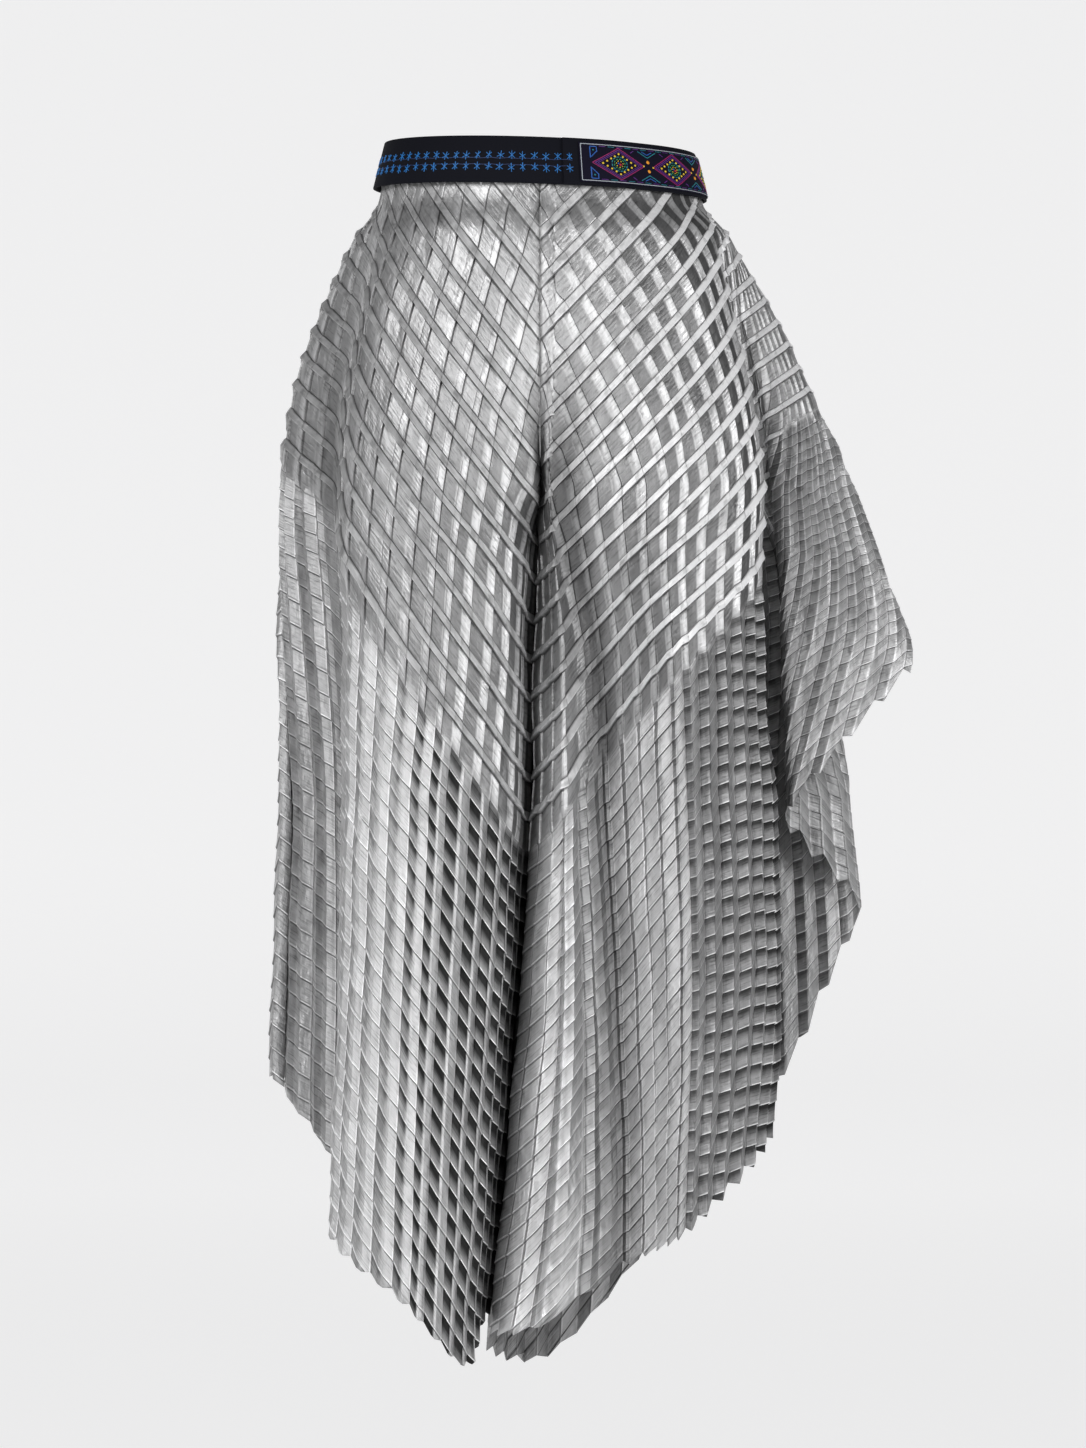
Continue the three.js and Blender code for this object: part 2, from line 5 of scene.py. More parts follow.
import bmesh
import bpy
import numpy as np
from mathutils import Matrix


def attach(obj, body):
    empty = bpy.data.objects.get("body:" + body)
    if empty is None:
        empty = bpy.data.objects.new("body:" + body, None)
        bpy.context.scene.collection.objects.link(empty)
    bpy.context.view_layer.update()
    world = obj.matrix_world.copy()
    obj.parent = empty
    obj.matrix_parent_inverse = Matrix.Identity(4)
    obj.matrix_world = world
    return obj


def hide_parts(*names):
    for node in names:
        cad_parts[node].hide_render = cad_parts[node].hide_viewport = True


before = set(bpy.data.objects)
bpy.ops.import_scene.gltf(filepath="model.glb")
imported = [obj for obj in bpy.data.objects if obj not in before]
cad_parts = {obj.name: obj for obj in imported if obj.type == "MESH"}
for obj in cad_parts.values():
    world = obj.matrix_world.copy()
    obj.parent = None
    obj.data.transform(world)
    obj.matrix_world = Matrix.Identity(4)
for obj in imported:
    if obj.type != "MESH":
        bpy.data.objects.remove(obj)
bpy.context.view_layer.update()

# Cloth sizes in millimetres, as in the solids
MM = 0.001
SEAM_GAP = 0.3
BAND_LOW = -25.5
BAND_TALL = 35.5
WAIST_TILT = -0.037
PANEL_TUCKED = 8
BAND_REACH = 2.2
CROTCH = 299
RISE_STRAIGHT = 200
RISE_DEPTH = 110
WAIST_OVALS = [[-15, 120.0, 84.2], [-33, 123.4, 87.4]]
COUNT_HEIGHTS = [-20, -250, -300, -480]
TURN_EASE = 16
TURN_PLEAT = 0.25
LEAN_EASE = 17
HEIGHT_STEP = 3.0

# Line where the two legs touch, seen from the front
PARTING = [
    (0, 0), (-200, 0), (-299, -2), (-340, -5), (-489, -7.6), (-568, -12), (-622, -16),
    (-657, -21), (-713, -24), (-789, -30), (-877, -38), (-930, -42),
]

# Waves of the cloth along that line, and how far the seams close
PARTING_WAVE = 1.8
PARTING_WAVE_LENGTH = 9.0
SEAM_CLOSED = 0.16

# Folds of the left leg, from the inseam round the front, the side and the back: girth, hem height, waist
# angle, pleat counts at the four count heights, lean of the tucks, crispness, half width of a sharp turn
LEFT_FOLDS = [
    (0, -882, 0, (13, 6, 0, 0), 0, 0.25, 0),
    (55, -884, 2.5, (13.2, 6.5, 2.9, 3), 1.05, 0.5, 0),
    (106, -879, 5, (13.5, 7, 5.9, 6), 1.05, 1, 0),
    (140, -832, 9, (13.9, 7.6, 7.4, 8), 1.05, 0.7, 0),
    (210, -804, 36, (17, 13, 12.9, 13), 1.05, 1, 0),
    (302, -742, 58, (18.8, 18, 18.1, 19), 1.05, 1, 0),
    (360, -720, 65, (19.8, 20.3, 20.3, 21), 0.9, 1, 5),
    (430, -575, 70, (21, 23.5, 23.6, 26), 0.9, 1, 6),
    (485, -498, 76, (22.5, 26.5, 26.7, 30), 0.9, 1, 5),
    (580, -373, 90, (27, 33, 33.2, 36), 0.9, 1, 6),
    (680, -458, 112, (31.5, 39, 39.2, 42), -1, 1, 0),
    (748, -720, 130, (34, 43, 43.2, 46), -1, 1, 0),
    (816, -835, 148, (37, 47, 47.3, 50), -1, 1, 0),
    (886, -924, 166, (40, 51, 51.5, 54), -1, 1, 0),
    (946, -912, 174, (41.5, 53, 56, 57), -1, 0.5, 0),
    (1001, -882, 180, (42, 54, 60, 60), -1, 0.25, 0),
]

# Sections of the left leg: height, then how far out and how far back every fold lies
LEFT_SECTIONS = [
    (-60, [0.2, 5, 10, 17, 88, 124, 134, 138, 141, 144, 131, 110, 74, 34, 13, 0.2],
     [-98, -98.5, -99, -98.5, -82, -56, -42, -33, -24, -4, 40, 64, 86, 98, 100, 100]),
    (-120, [0.2, 5, 10, 18, 100, 144, 142, 148, 155, 178, 152, 126, 82, 36, 13, 0.2],
     [-106, -107, -107.5, -107, -92, -62, -36, -28, -26, -10, 44, 70, 94, 106, 108, 108]),
    (-200, [0.2, 4, 8, 16, 108, 160, 152, 164, 176, 216, 176, 142, 90, 38, 13, 0.2],
     [-110, -112, -113, -112, -106, -74, -32, -22, -32, -20, 48, 80, 104, 112, 113, 110]),
    (-250, [0.2, 3, 7, 14, 104, 166, 150, 172, 178, 236, 186, 148, 92, 32, 6, 0.2],
     [-95, -104, -109, -106, -112, -78, -26, -14, -38, -26, 52, 84, 108, 110, 102, 95]),
    (-299, [-1.7, -1, 9, 21, 100, 165, 152, 194, 181, 254, 196, 152, 92, 26, 0, -1.7],
     [0, -55, -98, -93, -116, -80, -20, -8, -42, -30, 52, 86, 112, 104, 55, 0]),
    (-380, [-5.5, -5, 14, 38, 104, 168, 156, 217, 184, 279, 206, 156, 92, 24, -4, -5.5],
     [0, -55, -100, -84, -119, -78, -14, -5, -44, -32, 50, 88, 114, 102, 55, 0]),
    (-480, [-7, -6.5, 16, 46, 108, 176, 160, 230, 187, 279, 208, 156, 92, 24, -6, -7],
     [0, -55, -102, -80, -121, -74, -12, -5, -44, -32, 46, 90, 115, 102, 55, 0]),
    (-620, [-15.5, -15, 14, 55, 112, 180, 164, 241, 188, 279, 200, 150, 92, 20, -15, -15.5],
     [0, -55, -102, -79, -122, -68, -14, -6, -44, -32, 44, 92, 116, 102, 55, 0]),
    (-780, [-29, -28.5, 4, 61, 108, 172, 168, 241, 188, 279, 190, 140, 88, 8, -28, -29],
     [0, -55, -100, -80, -119, -62, -18, -6, -44, -32, 44, 94, 114, 100, 55, 0]),
    (-930, [-41, -40.5, -12, 60, 104, 172, 168, 241, 188, 279, 186, 130, 80, -6, -40, -41],
     [0, -55, -96, -84, -115, -62, -18, -6, -44, -32, 44, 94, 110, 98, 55, 0]),
]

# Right leg, same columns
RIGHT_FOLDS = [
    (0, -868, 0, (10, 6, 0, 0), 0, 0.25, 0),
    (55, -873, 4, (10.3, 6.5, 3, 3), 1.28, 0.5, 0),
    (101, -905, 12, (11, 7.8, 6.8, 6), 1.28, 1, 0),
    (161, -861, 30, (13, 11.2, 10.9, 10), 1.28, 1, 0),
    (227, -811, 54, (15.6, 14.8, 14.7, 14.5), 1.3, 1, 0),
    (285, -770, 70, (17, 17, 17, 17.5), 1.3, 1, 5),
    (345, -697, 90, (19.5, 20, 20.1, 21), 0.75, 0.8, 0),
    (400, -706, 112, (22, 23, 23, 24), -1, 1, 0),
    (458, -770, 132, (24, 26, 26.2, 27.5), -1, 1, 0),
    (527, -842, 156, (27, 30, 30.3, 31.5), -1, 1, 0),
    (604, -866, 174, (29.5, 33, 36, 36.5), -1, 0.5, 0),
    (659, -868, 180, (30, 34, 40, 40), -1, 0.25, 0),
]

RIGHT_SECTIONS = [
    (-60, [0.2, 8, 24, 62, 106, 124, 142, 126, 100, 52, 12, 0.2],
     [-98, -99, -98.5, -93, -69, -48, 0, 44, 70, 91, 99, 100]),
    (-120, [0.2, 8, 26, 70, 122, 139, 169, 150, 116, 58, 12, 0.2],
     [-106, -107, -107, -102, -77, -45, 0, 48, 78, 100, 108, 108]),
    (-200, [0.2, 7, 28, 78, 136, 153, 192.5, 170, 126, 62, 12, 0.2],
     [-110, -112, -112.5, -109, -84, -43, 0, 50, 84, 106, 112, 110]),
    (-250, [0.2, 4, 26, 80, 141, 156, 198, 176, 130, 64, 6, 0.2],
     [-95, -103, -111, -112, -87, -42, 0, 50, 86, 107, 102, 95]),
    (-299, [2.3, 3, 22, 80, 143, 154, 199.5, 178, 132, 66, 5, 2.3],
     [0, -55, -104, -114, -88, -38, 0, 50, 86, 106, 55, 0]),
    (-380, [6.4, 7, 22, 80, 143, 150, 200, 180, 134, 68, 7, 6.4],
     [0, -55, -100, -115, -88, -33, 0, 50, 86, 106, 55, 0]),
    (-480, [8, 8.5, 24, 82, 144, 149, 200, 180, 134, 68, 8.5, 8],
     [0, -55, -99, -115, -88, -30, 0, 50, 86, 106, 55, 0]),
    (-620, [16.5, 17, 33, 88, 148, 148, 205, 182, 134, 66, 17, 16.5],
     [0, -55, -99, -114, -86, -27, 1, 50, 86, 105, 55, 0]),
    (-780, [29.5, 30, 45, 94, 156, 149, 208, 180, 130, 66, 30, 29.5],
     [0, -55, -98, -112, -78, -23, 3, 50, 84, 102, 55, 0]),
    (-930, [42, 42.5, 54, 98, 162, 150, 208, 178, 128, 66, 42.5, 42],
     [0, -55, -96, -109, -70, -22, 4, 50, 82, 100, 55, 0]),
]

# Crossed pleats: spacing of the tucks from the waist down, then of the fine creases below them
TUCK_START = 21.0
TUCK_WIDE = 37.4
TUCK_NARROW = 29.5
TUCK_WIDE_END = 171
TUCK_END = 505
CREASE_END = 1180
CLOTH = 0.7
HEM_GIRTHS_AT = -600.0

# Depth of the upright pleats on the hips and on the legs, and how the relief fades in under the band
UPPER_DEPTH = 1.9
LOWER_DEPTH = 7.0
UPPER_DEPTH_SHARE = 0.2
LOWER_DEPTH_SHARE = 0.42
RELIEF_FADE = [(-20, 0.1), (-60, 0.9), (-200, 1.0), (-900, 1.0)]
CREASE_SHARE = 0.85
FLAP_ON_TUCK = 0.25


def smooth(keys, values, wanted):
    """Smooth curve through values with no overshoot, at each wanted key."""
    keys = np.asarray(keys, float)
    values = np.asarray(values, float)
    wanted = np.clip(np.asarray(wanted, float), keys[0], keys[-1])
    slopes = np.diff(values) / np.diff(keys)
    tangents = np.zeros(len(keys))
    for i in range(1, len(keys) - 1):
        a, b = slopes[i - 1], slopes[i]
        tangents[i] = 0 if a * b <= 0 else 2 * a * b / (a + b)
    i = np.clip(np.searchsorted(keys, wanted, side="right") - 1, 0, len(keys) - 2)
    h = keys[i + 1] - keys[i]
    f = (wanted - keys[i]) / h
    return hermite(f, values[i], values[i + 1], tangents[i] * h, tangents[i + 1] * h)


def hermite(f, a, b, da, db):
    f2 = f * f
    f3 = f2 * f
    return (2 * f3 - 3 * f2 + 1) * a + (f3 - 2 * f2 + f) * da + (3 * f2 - 2 * f3) * b + (f3 - f2) * db


def over(rows, wanted):
    """Straight-line value of a short table at each wanted key."""
    keys, values = zip(*sorted(rows))
    return np.interp(wanted, keys, values)


def ease(a, b, v):
    f = np.clip((v - a) / (b - a), 0, 1)
    return f * f * (3 - 2 * f)


Fold = namedtuple("Fold", "girth hem waist_angle counts lean crisp turn")


class Leg:
    """Base cloth of one leg as dense tables over height and girth."""

    def __init__(self, side, folds, sections, crest):
        self.side = side
        self.folds = [Fold(*row) for row in folds]
        self.girths = np.array([fold.girth for fold in self.folds], float)
        self.heights = np.arange(-8.0, -944.0, -HEIGHT_STEP)
        self.grid = np.arange(0.0, self.girths[-1] + 0.5, 1.0)
        z = self.heights
        keys = [-row[0] for row in WAIST_OVALS] + [-row[0] for row in sections]
        outs = []
        fronts = []
        for k, fold in enumerate(self.folds):
            angle = math.radians(fold.waist_angle)
            xs = [row[1] * math.sin(angle) for row in WAIST_OVALS] + [row[1][k] for row in sections]
            ys = [-row[2] * math.cos(angle) for row in WAIST_OVALS] + [row[2][k] for row in sections]
            outs.append(smooth(keys, xs, -z))
            fronts.append(smooth(keys, ys, -z))
        rise_share = np.clip((-z - RISE_STRAIGHT) / (CROTCH - RISE_STRAIGHT), 0, 1)
        rise = np.maximum(SEAM_GAP, RISE_DEPTH * np.sqrt(1 - rise_share**2))
        below = z < -RISE_STRAIGHT
        fronts[0] = np.where(below, -rise, fronts[0])
        fronts[-1] = np.where(below, rise, fronts[-1])
        points = np.stack([np.stack(outs), np.stack(fronts)], axis=-1)
        girth_knots, knots = self.turned(points)
        self.place = self.curve(girth_knots, knots)
        self.lean = self.lean_table(crest)
        self.counts = np.stack([
            np.interp(-z, [-h for h in COUNT_HEIGHTS], fold.counts) for fold in self.folds
        ])
        self.hems = np.array([fold.hem for fold in self.folds], float)

    def turned(self, points):
        """Two points round every sharp turn."""
        girths = []
        knots = []
        for k, fold in enumerate(self.folds):
            turn = fold.turn
            if not turn:
                girths.append(self.girths[k])
                knots.append(points[k])
                continue
            back = points[k - 1] - points[k]
            ahead = points[k + 1] - points[k]
            back_length = np.linalg.norm(back, axis=1, keepdims=True)
            ahead_length = np.linalg.norm(ahead, axis=1, keepdims=True)
            across = ahead / ahead_length - back / back_length
            across /= np.maximum(np.linalg.norm(across, axis=1, keepdims=True), 1e-9)
            radius = np.minimum(turn, np.minimum(back_length, ahead_length) * 0.3)
            girths += [self.girths[k] - turn, self.girths[k] + turn]
            knots += [points[k] - across * radius, points[k] + across * radius]
        return np.array(girths, float), np.stack(knots)

    def curve(self, keys, knots):
        """Smooth curve round the leg through its knots, at every millimetre of girth."""
        tangents = np.zeros_like(knots)
        steps = np.diff(keys)[:, None, None]
        tangents[0] = (knots[1] - knots[0]) / steps[0]
        tangents[-1] = (knots[-1] - knots[-2]) / steps[-1]
        tangents[1:-1] = (knots[2:] - knots[:-2]) / (keys[2:] - keys[:-2])[:, None, None]
        i = np.clip(np.searchsorted(keys, self.grid, side="right") - 1, 0, len(keys) - 2)
        h = keys[i + 1] - keys[i]
        f = ((self.grid - keys[i]) / h)[:, None, None]
        h = h[:, None, None]
        return hermite(f, knots[i], knots[i + 1], tangents[i] * h, tangents[i + 1] * h).transpose(1, 0, 2)

    def lean_table(self, crest):
        """Climb of the tucks from the middle out to the crest fold, and down again behind."""
        middle = self.grid[:-1] + 0.5
        segment = np.searchsorted(self.girths, middle) - 1
        leans = np.array([abs(fold.lean) for fold in self.folds])[segment + 1]
        outward = (middle > self.girths[2]) & (middle < self.girths[-3])
        steps = np.diff(self.place, axis=1)
        steps = np.hypot(steps[..., 0], steps[..., 1] * outward)
        climb = np.concatenate([np.zeros((len(self.heights), 1)), np.cumsum(steps * leans, axis=1)], axis=1)
        top = climb[:, int(self.girths[crest]), None]
        tail = climb[:, -1:] - top
        table = np.where(self.grid > self.girths[crest], top * (1 - (climb - top) / tail), climb)
        kernel = np.hanning(LEAN_EASE)
        kernel /= kernel.sum()
        half = LEAN_EASE // 2
        padded = np.pad(table, ((0, 0), (half, half)), mode="edge")
        return np.stack([np.convolve(row, kernel, mode="valid") for row in padded])

    def row_of(self, z):
        """Row of the tables above each height, and how far past it the height lies."""
        zi = np.clip((self.heights[0] - z) / HEIGHT_STEP, 0, len(self.heights) - 1.001)
        row = zi.astype(int)
        return row, zi - row

    def look(self, table, z, girth):
        """Value of a table at each height and girth."""
        a, fz = self.row_of(z)
        gi = np.clip(girth, 0, len(self.grid) - 1.001)
        b = gi.astype(int)
        fg = gi - b
        if table.ndim == 3:
            fz = fz[..., None]
            fg = fg[..., None]
        low = table[a, b] * (1 - fg) + table[a, b + 1] * fg
        high = table[a + 1, b] * (1 - fg) + table[a + 1, b + 1] * fg
        return low * (1 - fz) + high * fz

    def girth_of(self, pleat, z):
        """Girth of an upright pleat line at each height."""
        a, f = self.row_of(z)
        first = np.array([np.interp(pleat, counts, self.girths) for counts in self.counts.T])
        return first[a] * (1 - f) + first[a + 1] * f

    def top_of(self, pleat):
        """Height where a pleat line starts, at the middle seam or inside the band."""
        for end, way in ((0, -1), (-1, 1)):
            seam = np.array(self.folds[end].counts[:3]) * way
            if pleat * way > seam[0]:
                return np.interp(pleat * way, seam, COUNT_HEIGHTS[:3])
        z = np.array([-20.0])
        x = self.look(self.place, z, self.girth_of(pleat, z))[0, 0] * self.side
        return BAND_LOW + PANEL_TUCKED + WAIST_TILT * x

    def hem_of(self, pleat, teeth, fold):
        """Height of the hem on a pleat line, cut up into teeth between the ridges."""
        girth = self.girth_of(pleat, np.array([HEM_GIRTHS_AT]))
        return (smooth(self.girths, self.hems, girth) + over(teeth, girth) * (1 - fold))[0]

    def crisp(self, girth):
        """How crisp the pleats are, less so at seams and on sharp turns."""
        share = np.interp(girth, self.girths, [fold.crisp for fold in self.folds])
        for fold in self.folds:
            if fold.turn:
                near = np.clip((np.abs(girth - fold.girth) - fold.turn) / TURN_EASE, TURN_PLEAT, 1)
                share = np.minimum(share, near)
        return share


def level_marks(crease_step):
    """Levels of the tucks down the cloth, then of the creases, and how many of them are tucks."""
    marks = [TUCK_START]
    while marks[-1] < TUCK_END:
        marks.append(marks[-1] + (TUCK_WIDE if marks[-1] < TUCK_WIDE_END - 1 else TUCK_NARROW))
    tucks = len(marks) - 1
    while marks[-1] < CREASE_END:
        marks.append(marks[-1] + crease_step)
    return np.array(marks), tucks


# Relief across one tuck spacing and one crease spacing: share of the spacing, height in millimetres
TUCK_PROFILE = [(0, 0.1), (0.03, 0.5), (0.235, 2.7), (0.265, 0.1), (0.6, 0.5), (0.97, 0.2), (1, 0.1)]
TUCK_STEPS = [0.0, 0.03, 0.13, 0.235, 0.265, 0.42, 0.62, 0.82, 0.97]
CREASE_PROFILE = [(0, 1.25), (0.07, 0.0), (0.5, 0.35), (0.9, 0.85), (0.95, 1.25), (1, 1.25)]
CREASE_STEPS = [0.0, 0.07, 0.5, 0.9, 0.95]

# Upright pleats across one pitch, from picture left to right, for the hips
FLAP_PROFILE = [(0, 0.2), (0.04, 0.35), (0.34, 1.0), (0.38, 0.0), (0.7, 0.1), (1, 0.2)]
PLEAT_STEPS = [0.0, 0.04, 0.19, 0.34, 0.38, 0.62, 0.82]
PLAIN_PLEAT_STEPS = [0.0, 0.34, 0.38]
TWIN_FOLD = [(0, 0), (0.19, 1), (0.38, 0.1), (0.62, 0.9), (1, 0)]
LINE_GAP = 0.02

# Heights that every upright line is followed through
SCAN = np.arange(-10.0, -940.0, -2.5)
SCAN_OUT = -960

# Unevenness from pleat to pleat, and slow waves over the whole cloth
JITTER = 0.035
VIGOUR = (0.8, 1.15)
DRIFT_EASE = 25
DRIFT_WIDTH = 18
CRUMPLE = 0.5

# Reach of the measured pitch, change from hip to leg, levels where the creases start to sway, and the part
# of a tuck spacing that is the tuck
PITCH_REACH = 3
LEG_EASE = 0.25
SWAY_LEVELS = (TUCK_END - 40, TUCK_END + 20)
TUCK_PART = (0.02, 0.25)
CRISP_LEAST = 0.25

# Distances from the seams, in millimetres, over which the cloth lies down, closes and takes a painted shade
FAR = 99
SEAM_FADE = (0.0, 6.0)
SEAM_CLOSING = (3.0, 1.0)
SEAM_SHADE_GAP = (2.2, 0.6)
SEAM_SHADE = 0.6
PARTING_NEAR = (10.0, 1.5)
PARTING_HEIGHTS = (-CROTCH + 90, -CROTCH + 20)

# Heights between which the painted shades of the cloth come in
HOLLOW_HEIGHTS = (-140, -240)
RECESS_HEIGHTS = (-170, -290)
CLEFT_TOP = (-190, -270)
CLEFT_END = (-450, -370)


def zigzag(shown, ridge):
    """Height across a pleat with one ridge, from nothing at its edges to one."""
    return np.where(shown < ridge, shown / ridge, (1 - shown) / (1 - ridge))


def pleat_lines(leg, first, last, plain_from):
    """Pleat counts of the upright columns of points, several to each pleat."""
    lines = [first]
    for k in range(math.floor(first), math.ceil(last)):
        steps = PLEAT_STEPS if k < plain_from else PLAIN_PLEAT_STEPS
        shares = steps if leg.side > 0 else sorted((1 - s) % 1.0 for s in steps)
        lines += [k + s for s in shares if first + LINE_GAP < k + s < last - LINE_GAP]
    return np.array(lines + [last])


def row_levels(marks, tucks, early):
    """Levels of the rows of points, several to each tuck and crease."""
    rows = []
    for m in range(len(marks) - 1):
        steps = TUCK_STEPS if m < tucks else CREASE_STEPS
        if tucks - early <= m < tucks:
            steps = sorted(set(TUCK_STEPS + [(half + s) / 2 for half in (0, 1) for s in CREASE_STEPS]))
        rows += [m + s for s in steps]
    rows.append(len(marks) - 1)
    return np.interp(rows, np.arange(len(marks)), marks)


class Panel:
    """One panel of crossed pleats between two pleat lines of a leg, as a thin sheet."""

    def __init__(self, leg, first, last, spec):
        self.leg = leg
        self.spec = spec
        self.level_marks, self.tucks = level_marks(spec["crease"])
        self.levels = row_levels(self.level_marks, self.tucks, max(row[1] for row in spec["early"]))
        self.lines = pleat_lines(leg, first, last, spec["plain_from"])
        rng = np.random.default_rng(spec["seed"])
        jitter = rng.normal(0, JITTER, int(last) + 3)
        vigour = rng.uniform(*VIGOUR, int(last) + 3)
        columns = []
        self.keep = []
        for line in self.lines:
            share = line % 1.0
            shown = share if leg.side > 0 else (1 - share) % 1.0
            drift = np.interp(line, np.arange(len(jitter)), jitter)
            drift *= DRIFT_WIDTH * min(1, (line - first) * 2, (last - line) * 2)
            z, girth, phase, ends = self.column(line, shown, drift)
            columns.append((z, girth, phase, np.full(len(z), shown), np.full(len(z), vigour[int(line)])))
            self.keep.append(ends)
        self.z, self.girth, self.phase, self.shown, self.vigour = (
            np.stack([column[i] for column in columns]) for i in range(5)
        )
        tuck_count = self.tucks - over(spec["early"], self.girth)
        self.on_leg = ease(tuck_count - LEG_EASE, tuck_count + LEG_EASE, self.phase)
        self.crease_phase = self.phase + np.minimum(self.phase - self.tucks, 0)
        twin = (self.lines > spec["twins"][0]) & (self.lines < spec["twins"][1])
        single = zigzag(self.shown, spec["ridge"])
        self.fold = np.where(twin[:, None], over(TWIN_FOLD, self.shown), single)
        self.base = leg.look(leg.place, self.z, self.girth)
        self.seam_gap = np.where(self.z > -CROTCH, np.abs(self.base[..., 0]), FAR)

    def sway(self, fold, level):
        """How far the creases of the legs rise and fall across a pleat."""
        return self.spec["sway"] * fold * ease(*SWAY_LEVELS, level)

    def column(self, line, shown, drift):
        """Height, girth and tuck phase down one upright line, and the first and last row it keeps."""
        leg = self.leg
        fold = zigzag(shown, self.spec["ridge"])
        girth = leg.girth_of(line, SCAN)
        inside = np.minimum(girth, leg.girths[-1] - girth)
        girth = girth + drift * ease(0, DRIFT_EASE, inside)
        level = np.maximum.accumulate(-SCAN + leg.look(leg.lean, SCAN, girth))
        z = np.interp(self.levels + self.sway(fold, self.levels), level, SCAN, left=SCAN[0], right=SCAN_OUT)
        top = leg.top_of(line)
        low = leg.hem_of(line, self.spec["tooth"], fold)
        above = np.nonzero(z >= top)[0]
        under = np.nonzero(z <= low)[0]
        ends = (above[-1] if len(above) else 0, under[0] if len(under) else len(z) - 1)
        z = np.clip(z, low, top)
        at_level = np.interp(-z, -SCAN, level)
        at_level = at_level - self.sway(fold, at_level)
        phase = np.interp(at_level, self.level_marks, np.arange(len(self.level_marks)))
        return z, np.interp(-z, -SCAN, girth), phase, ends

    def relief(self):
        """How far the cloth stands out from the base of the leg."""
        leg, z, girth = self.leg, self.z, self.girth
        crisp = leg.crisp(girth)
        beside = leg.look(leg.place, z, girth + PITCH_REACH) - leg.look(leg.place, z, girth - PITCH_REACH)
        pitch = np.linalg.norm(beside, axis=-1) / (2 * PITCH_REACH)
        width = np.abs(np.gradient(girth, self.lines, axis=0) * pitch)
        flaps = np.minimum(UPPER_DEPTH * self.vigour, UPPER_DEPTH_SHARE * width) * np.sqrt(crisp)
        flaps *= (over(FLAP_PROFILE, self.shown) - 1) * (1 - self.on_leg)
        folds = np.minimum(LOWER_DEPTH * self.vigour, LOWER_DEPTH_SHARE * width) * crisp
        folds *= (self.fold - 1) * over(self.spec["deep"], girth) * self.on_leg
        part = self.phase % 1.0
        on_tuck = (part > TUCK_PART[0]) & (part < TUCK_PART[1]) & (self.on_leg < 0.5)
        pleats = np.where(on_tuck, (flaps + folds) * FLAP_ON_TUCK, flaps + folds)
        tucks = over(TUCK_PROFILE, part) * (1 - self.on_leg)
        creases = over(CREASE_PROFILE, self.crease_phase % 1.0) * self.on_leg * CREASE_SHARE
        waves = np.sin(girth * 0.071 + z * 0.043 + self.spec["seed"]) + np.sin(girth * 0.033 - z * 0.061)
        relief = pleats + (tucks + creases) * np.minimum(1, crisp + CRISP_LEAST) + CRUMPLE * waves
        relief *= over(RELIEF_FADE, z)
        up_band = z - WAIST_TILT * self.base[..., 0] * leg.side - BAND_LOW
        relief += BAND_REACH * ease(PANEL_TUCKED / 2, PANEL_TUCKED, up_band)
        return relief * ease(*SEAM_FADE, self.seam_gap)

    def normal(self):
        """Outward normal of the base at every point."""
        leg, z, girth = self.leg, self.z, self.girth
        most = leg.girths[-1] - 1
        back, ahead = (leg.look(leg.place, z, np.clip(girth + step, 0, most)) for step in (-2, 2))
        rise = leg.look(leg.place, z + 5, girth) - leg.look(leg.place, z - 5, girth)
        x, y = np.moveaxis(ahead - back, -1, 0)
        normal = np.stack([10 * y, -10 * x, x * rise[..., 1] - y * rise[..., 0]], axis=-1)
        return normal / np.maximum(np.linalg.norm(normal, axis=-1, keepdims=True), 1e-9)

    def points(self):
        """Points of the sheet, each leg kept to its own side of the parting line."""
        side = self.leg.side
        points = np.concatenate([self.base, self.z[..., None]], axis=-1)
        points += self.normal() * self.relief()[..., None]
        limit = over(PARTING, self.z) * side + SEAM_GAP
        x = np.maximum(points[..., 0], limit)
        x -= SEAM_CLOSED * ease(*SEAM_CLOSING, self.seam_gap)
        beside = ease(*PARTING_NEAR, x - limit) * ease(*PARTING_HEIGHTS, self.z)
        front, back = (self.leg.folds[end].counts[0] for end in (0, -1))
        for c, line in enumerate(self.lines):
            if not front <= line <= back:
                start = self.keep[c][0]
                x[c, start] = min(SEAM_GAP - SEAM_CLOSED, x[c, start])
        points[..., 0] = x * side + PARTING_WAVE * np.sin(points[..., 1] / PARTING_WAVE_LENGTH) * beside
        return points

    def shading(self):
        """Values that the material reads at every point, most of them strengths of painted shade and
        painted highlights.
        """
        spec, z, girth = self.spec, self.z, self.girth
        # Painted shade beside the flaps low on the hips, in the cleft, in the hollows, over dimmed parts of
        # the legs and beside the seams
        low_recess = over(spec["low_recess"], girth) * ease(*RECESS_HEIGHTS, z)
        cleft = ease(*CLEFT_TOP, z) * ease(*CLEFT_END, z)
        shades = (
            over(spec["hollow"], girth) * ease(*HOLLOW_HEIGHTS, z),
            over(spec["cleft"], girth) * cleft,
            over(spec["dim"], girth) * self.on_leg,
            SEAM_SHADE * ease(*SEAM_SHADE_GAP, self.seam_gap),
        )
        return {
            "tuck_phase": self.phase,
            "crease_phase": self.crease_phase,
            "pleat_line": np.broadcast_to(self.lines[:, None] * self.leg.side, z.shape),
            "zone": self.on_leg,
            "fold": self.fold,
            "recess": over(spec["recess"], girth) + low_recess,
            "hollow": np.maximum.reduce(shades),
            **{name: over(spec[name], girth) for name in ("pocket", "strip", "rib")},
        }

    def sheet(self, name):
        return sheet_mesh(name, self.points(), self.keep, self.leg.side > 0, self.shading())


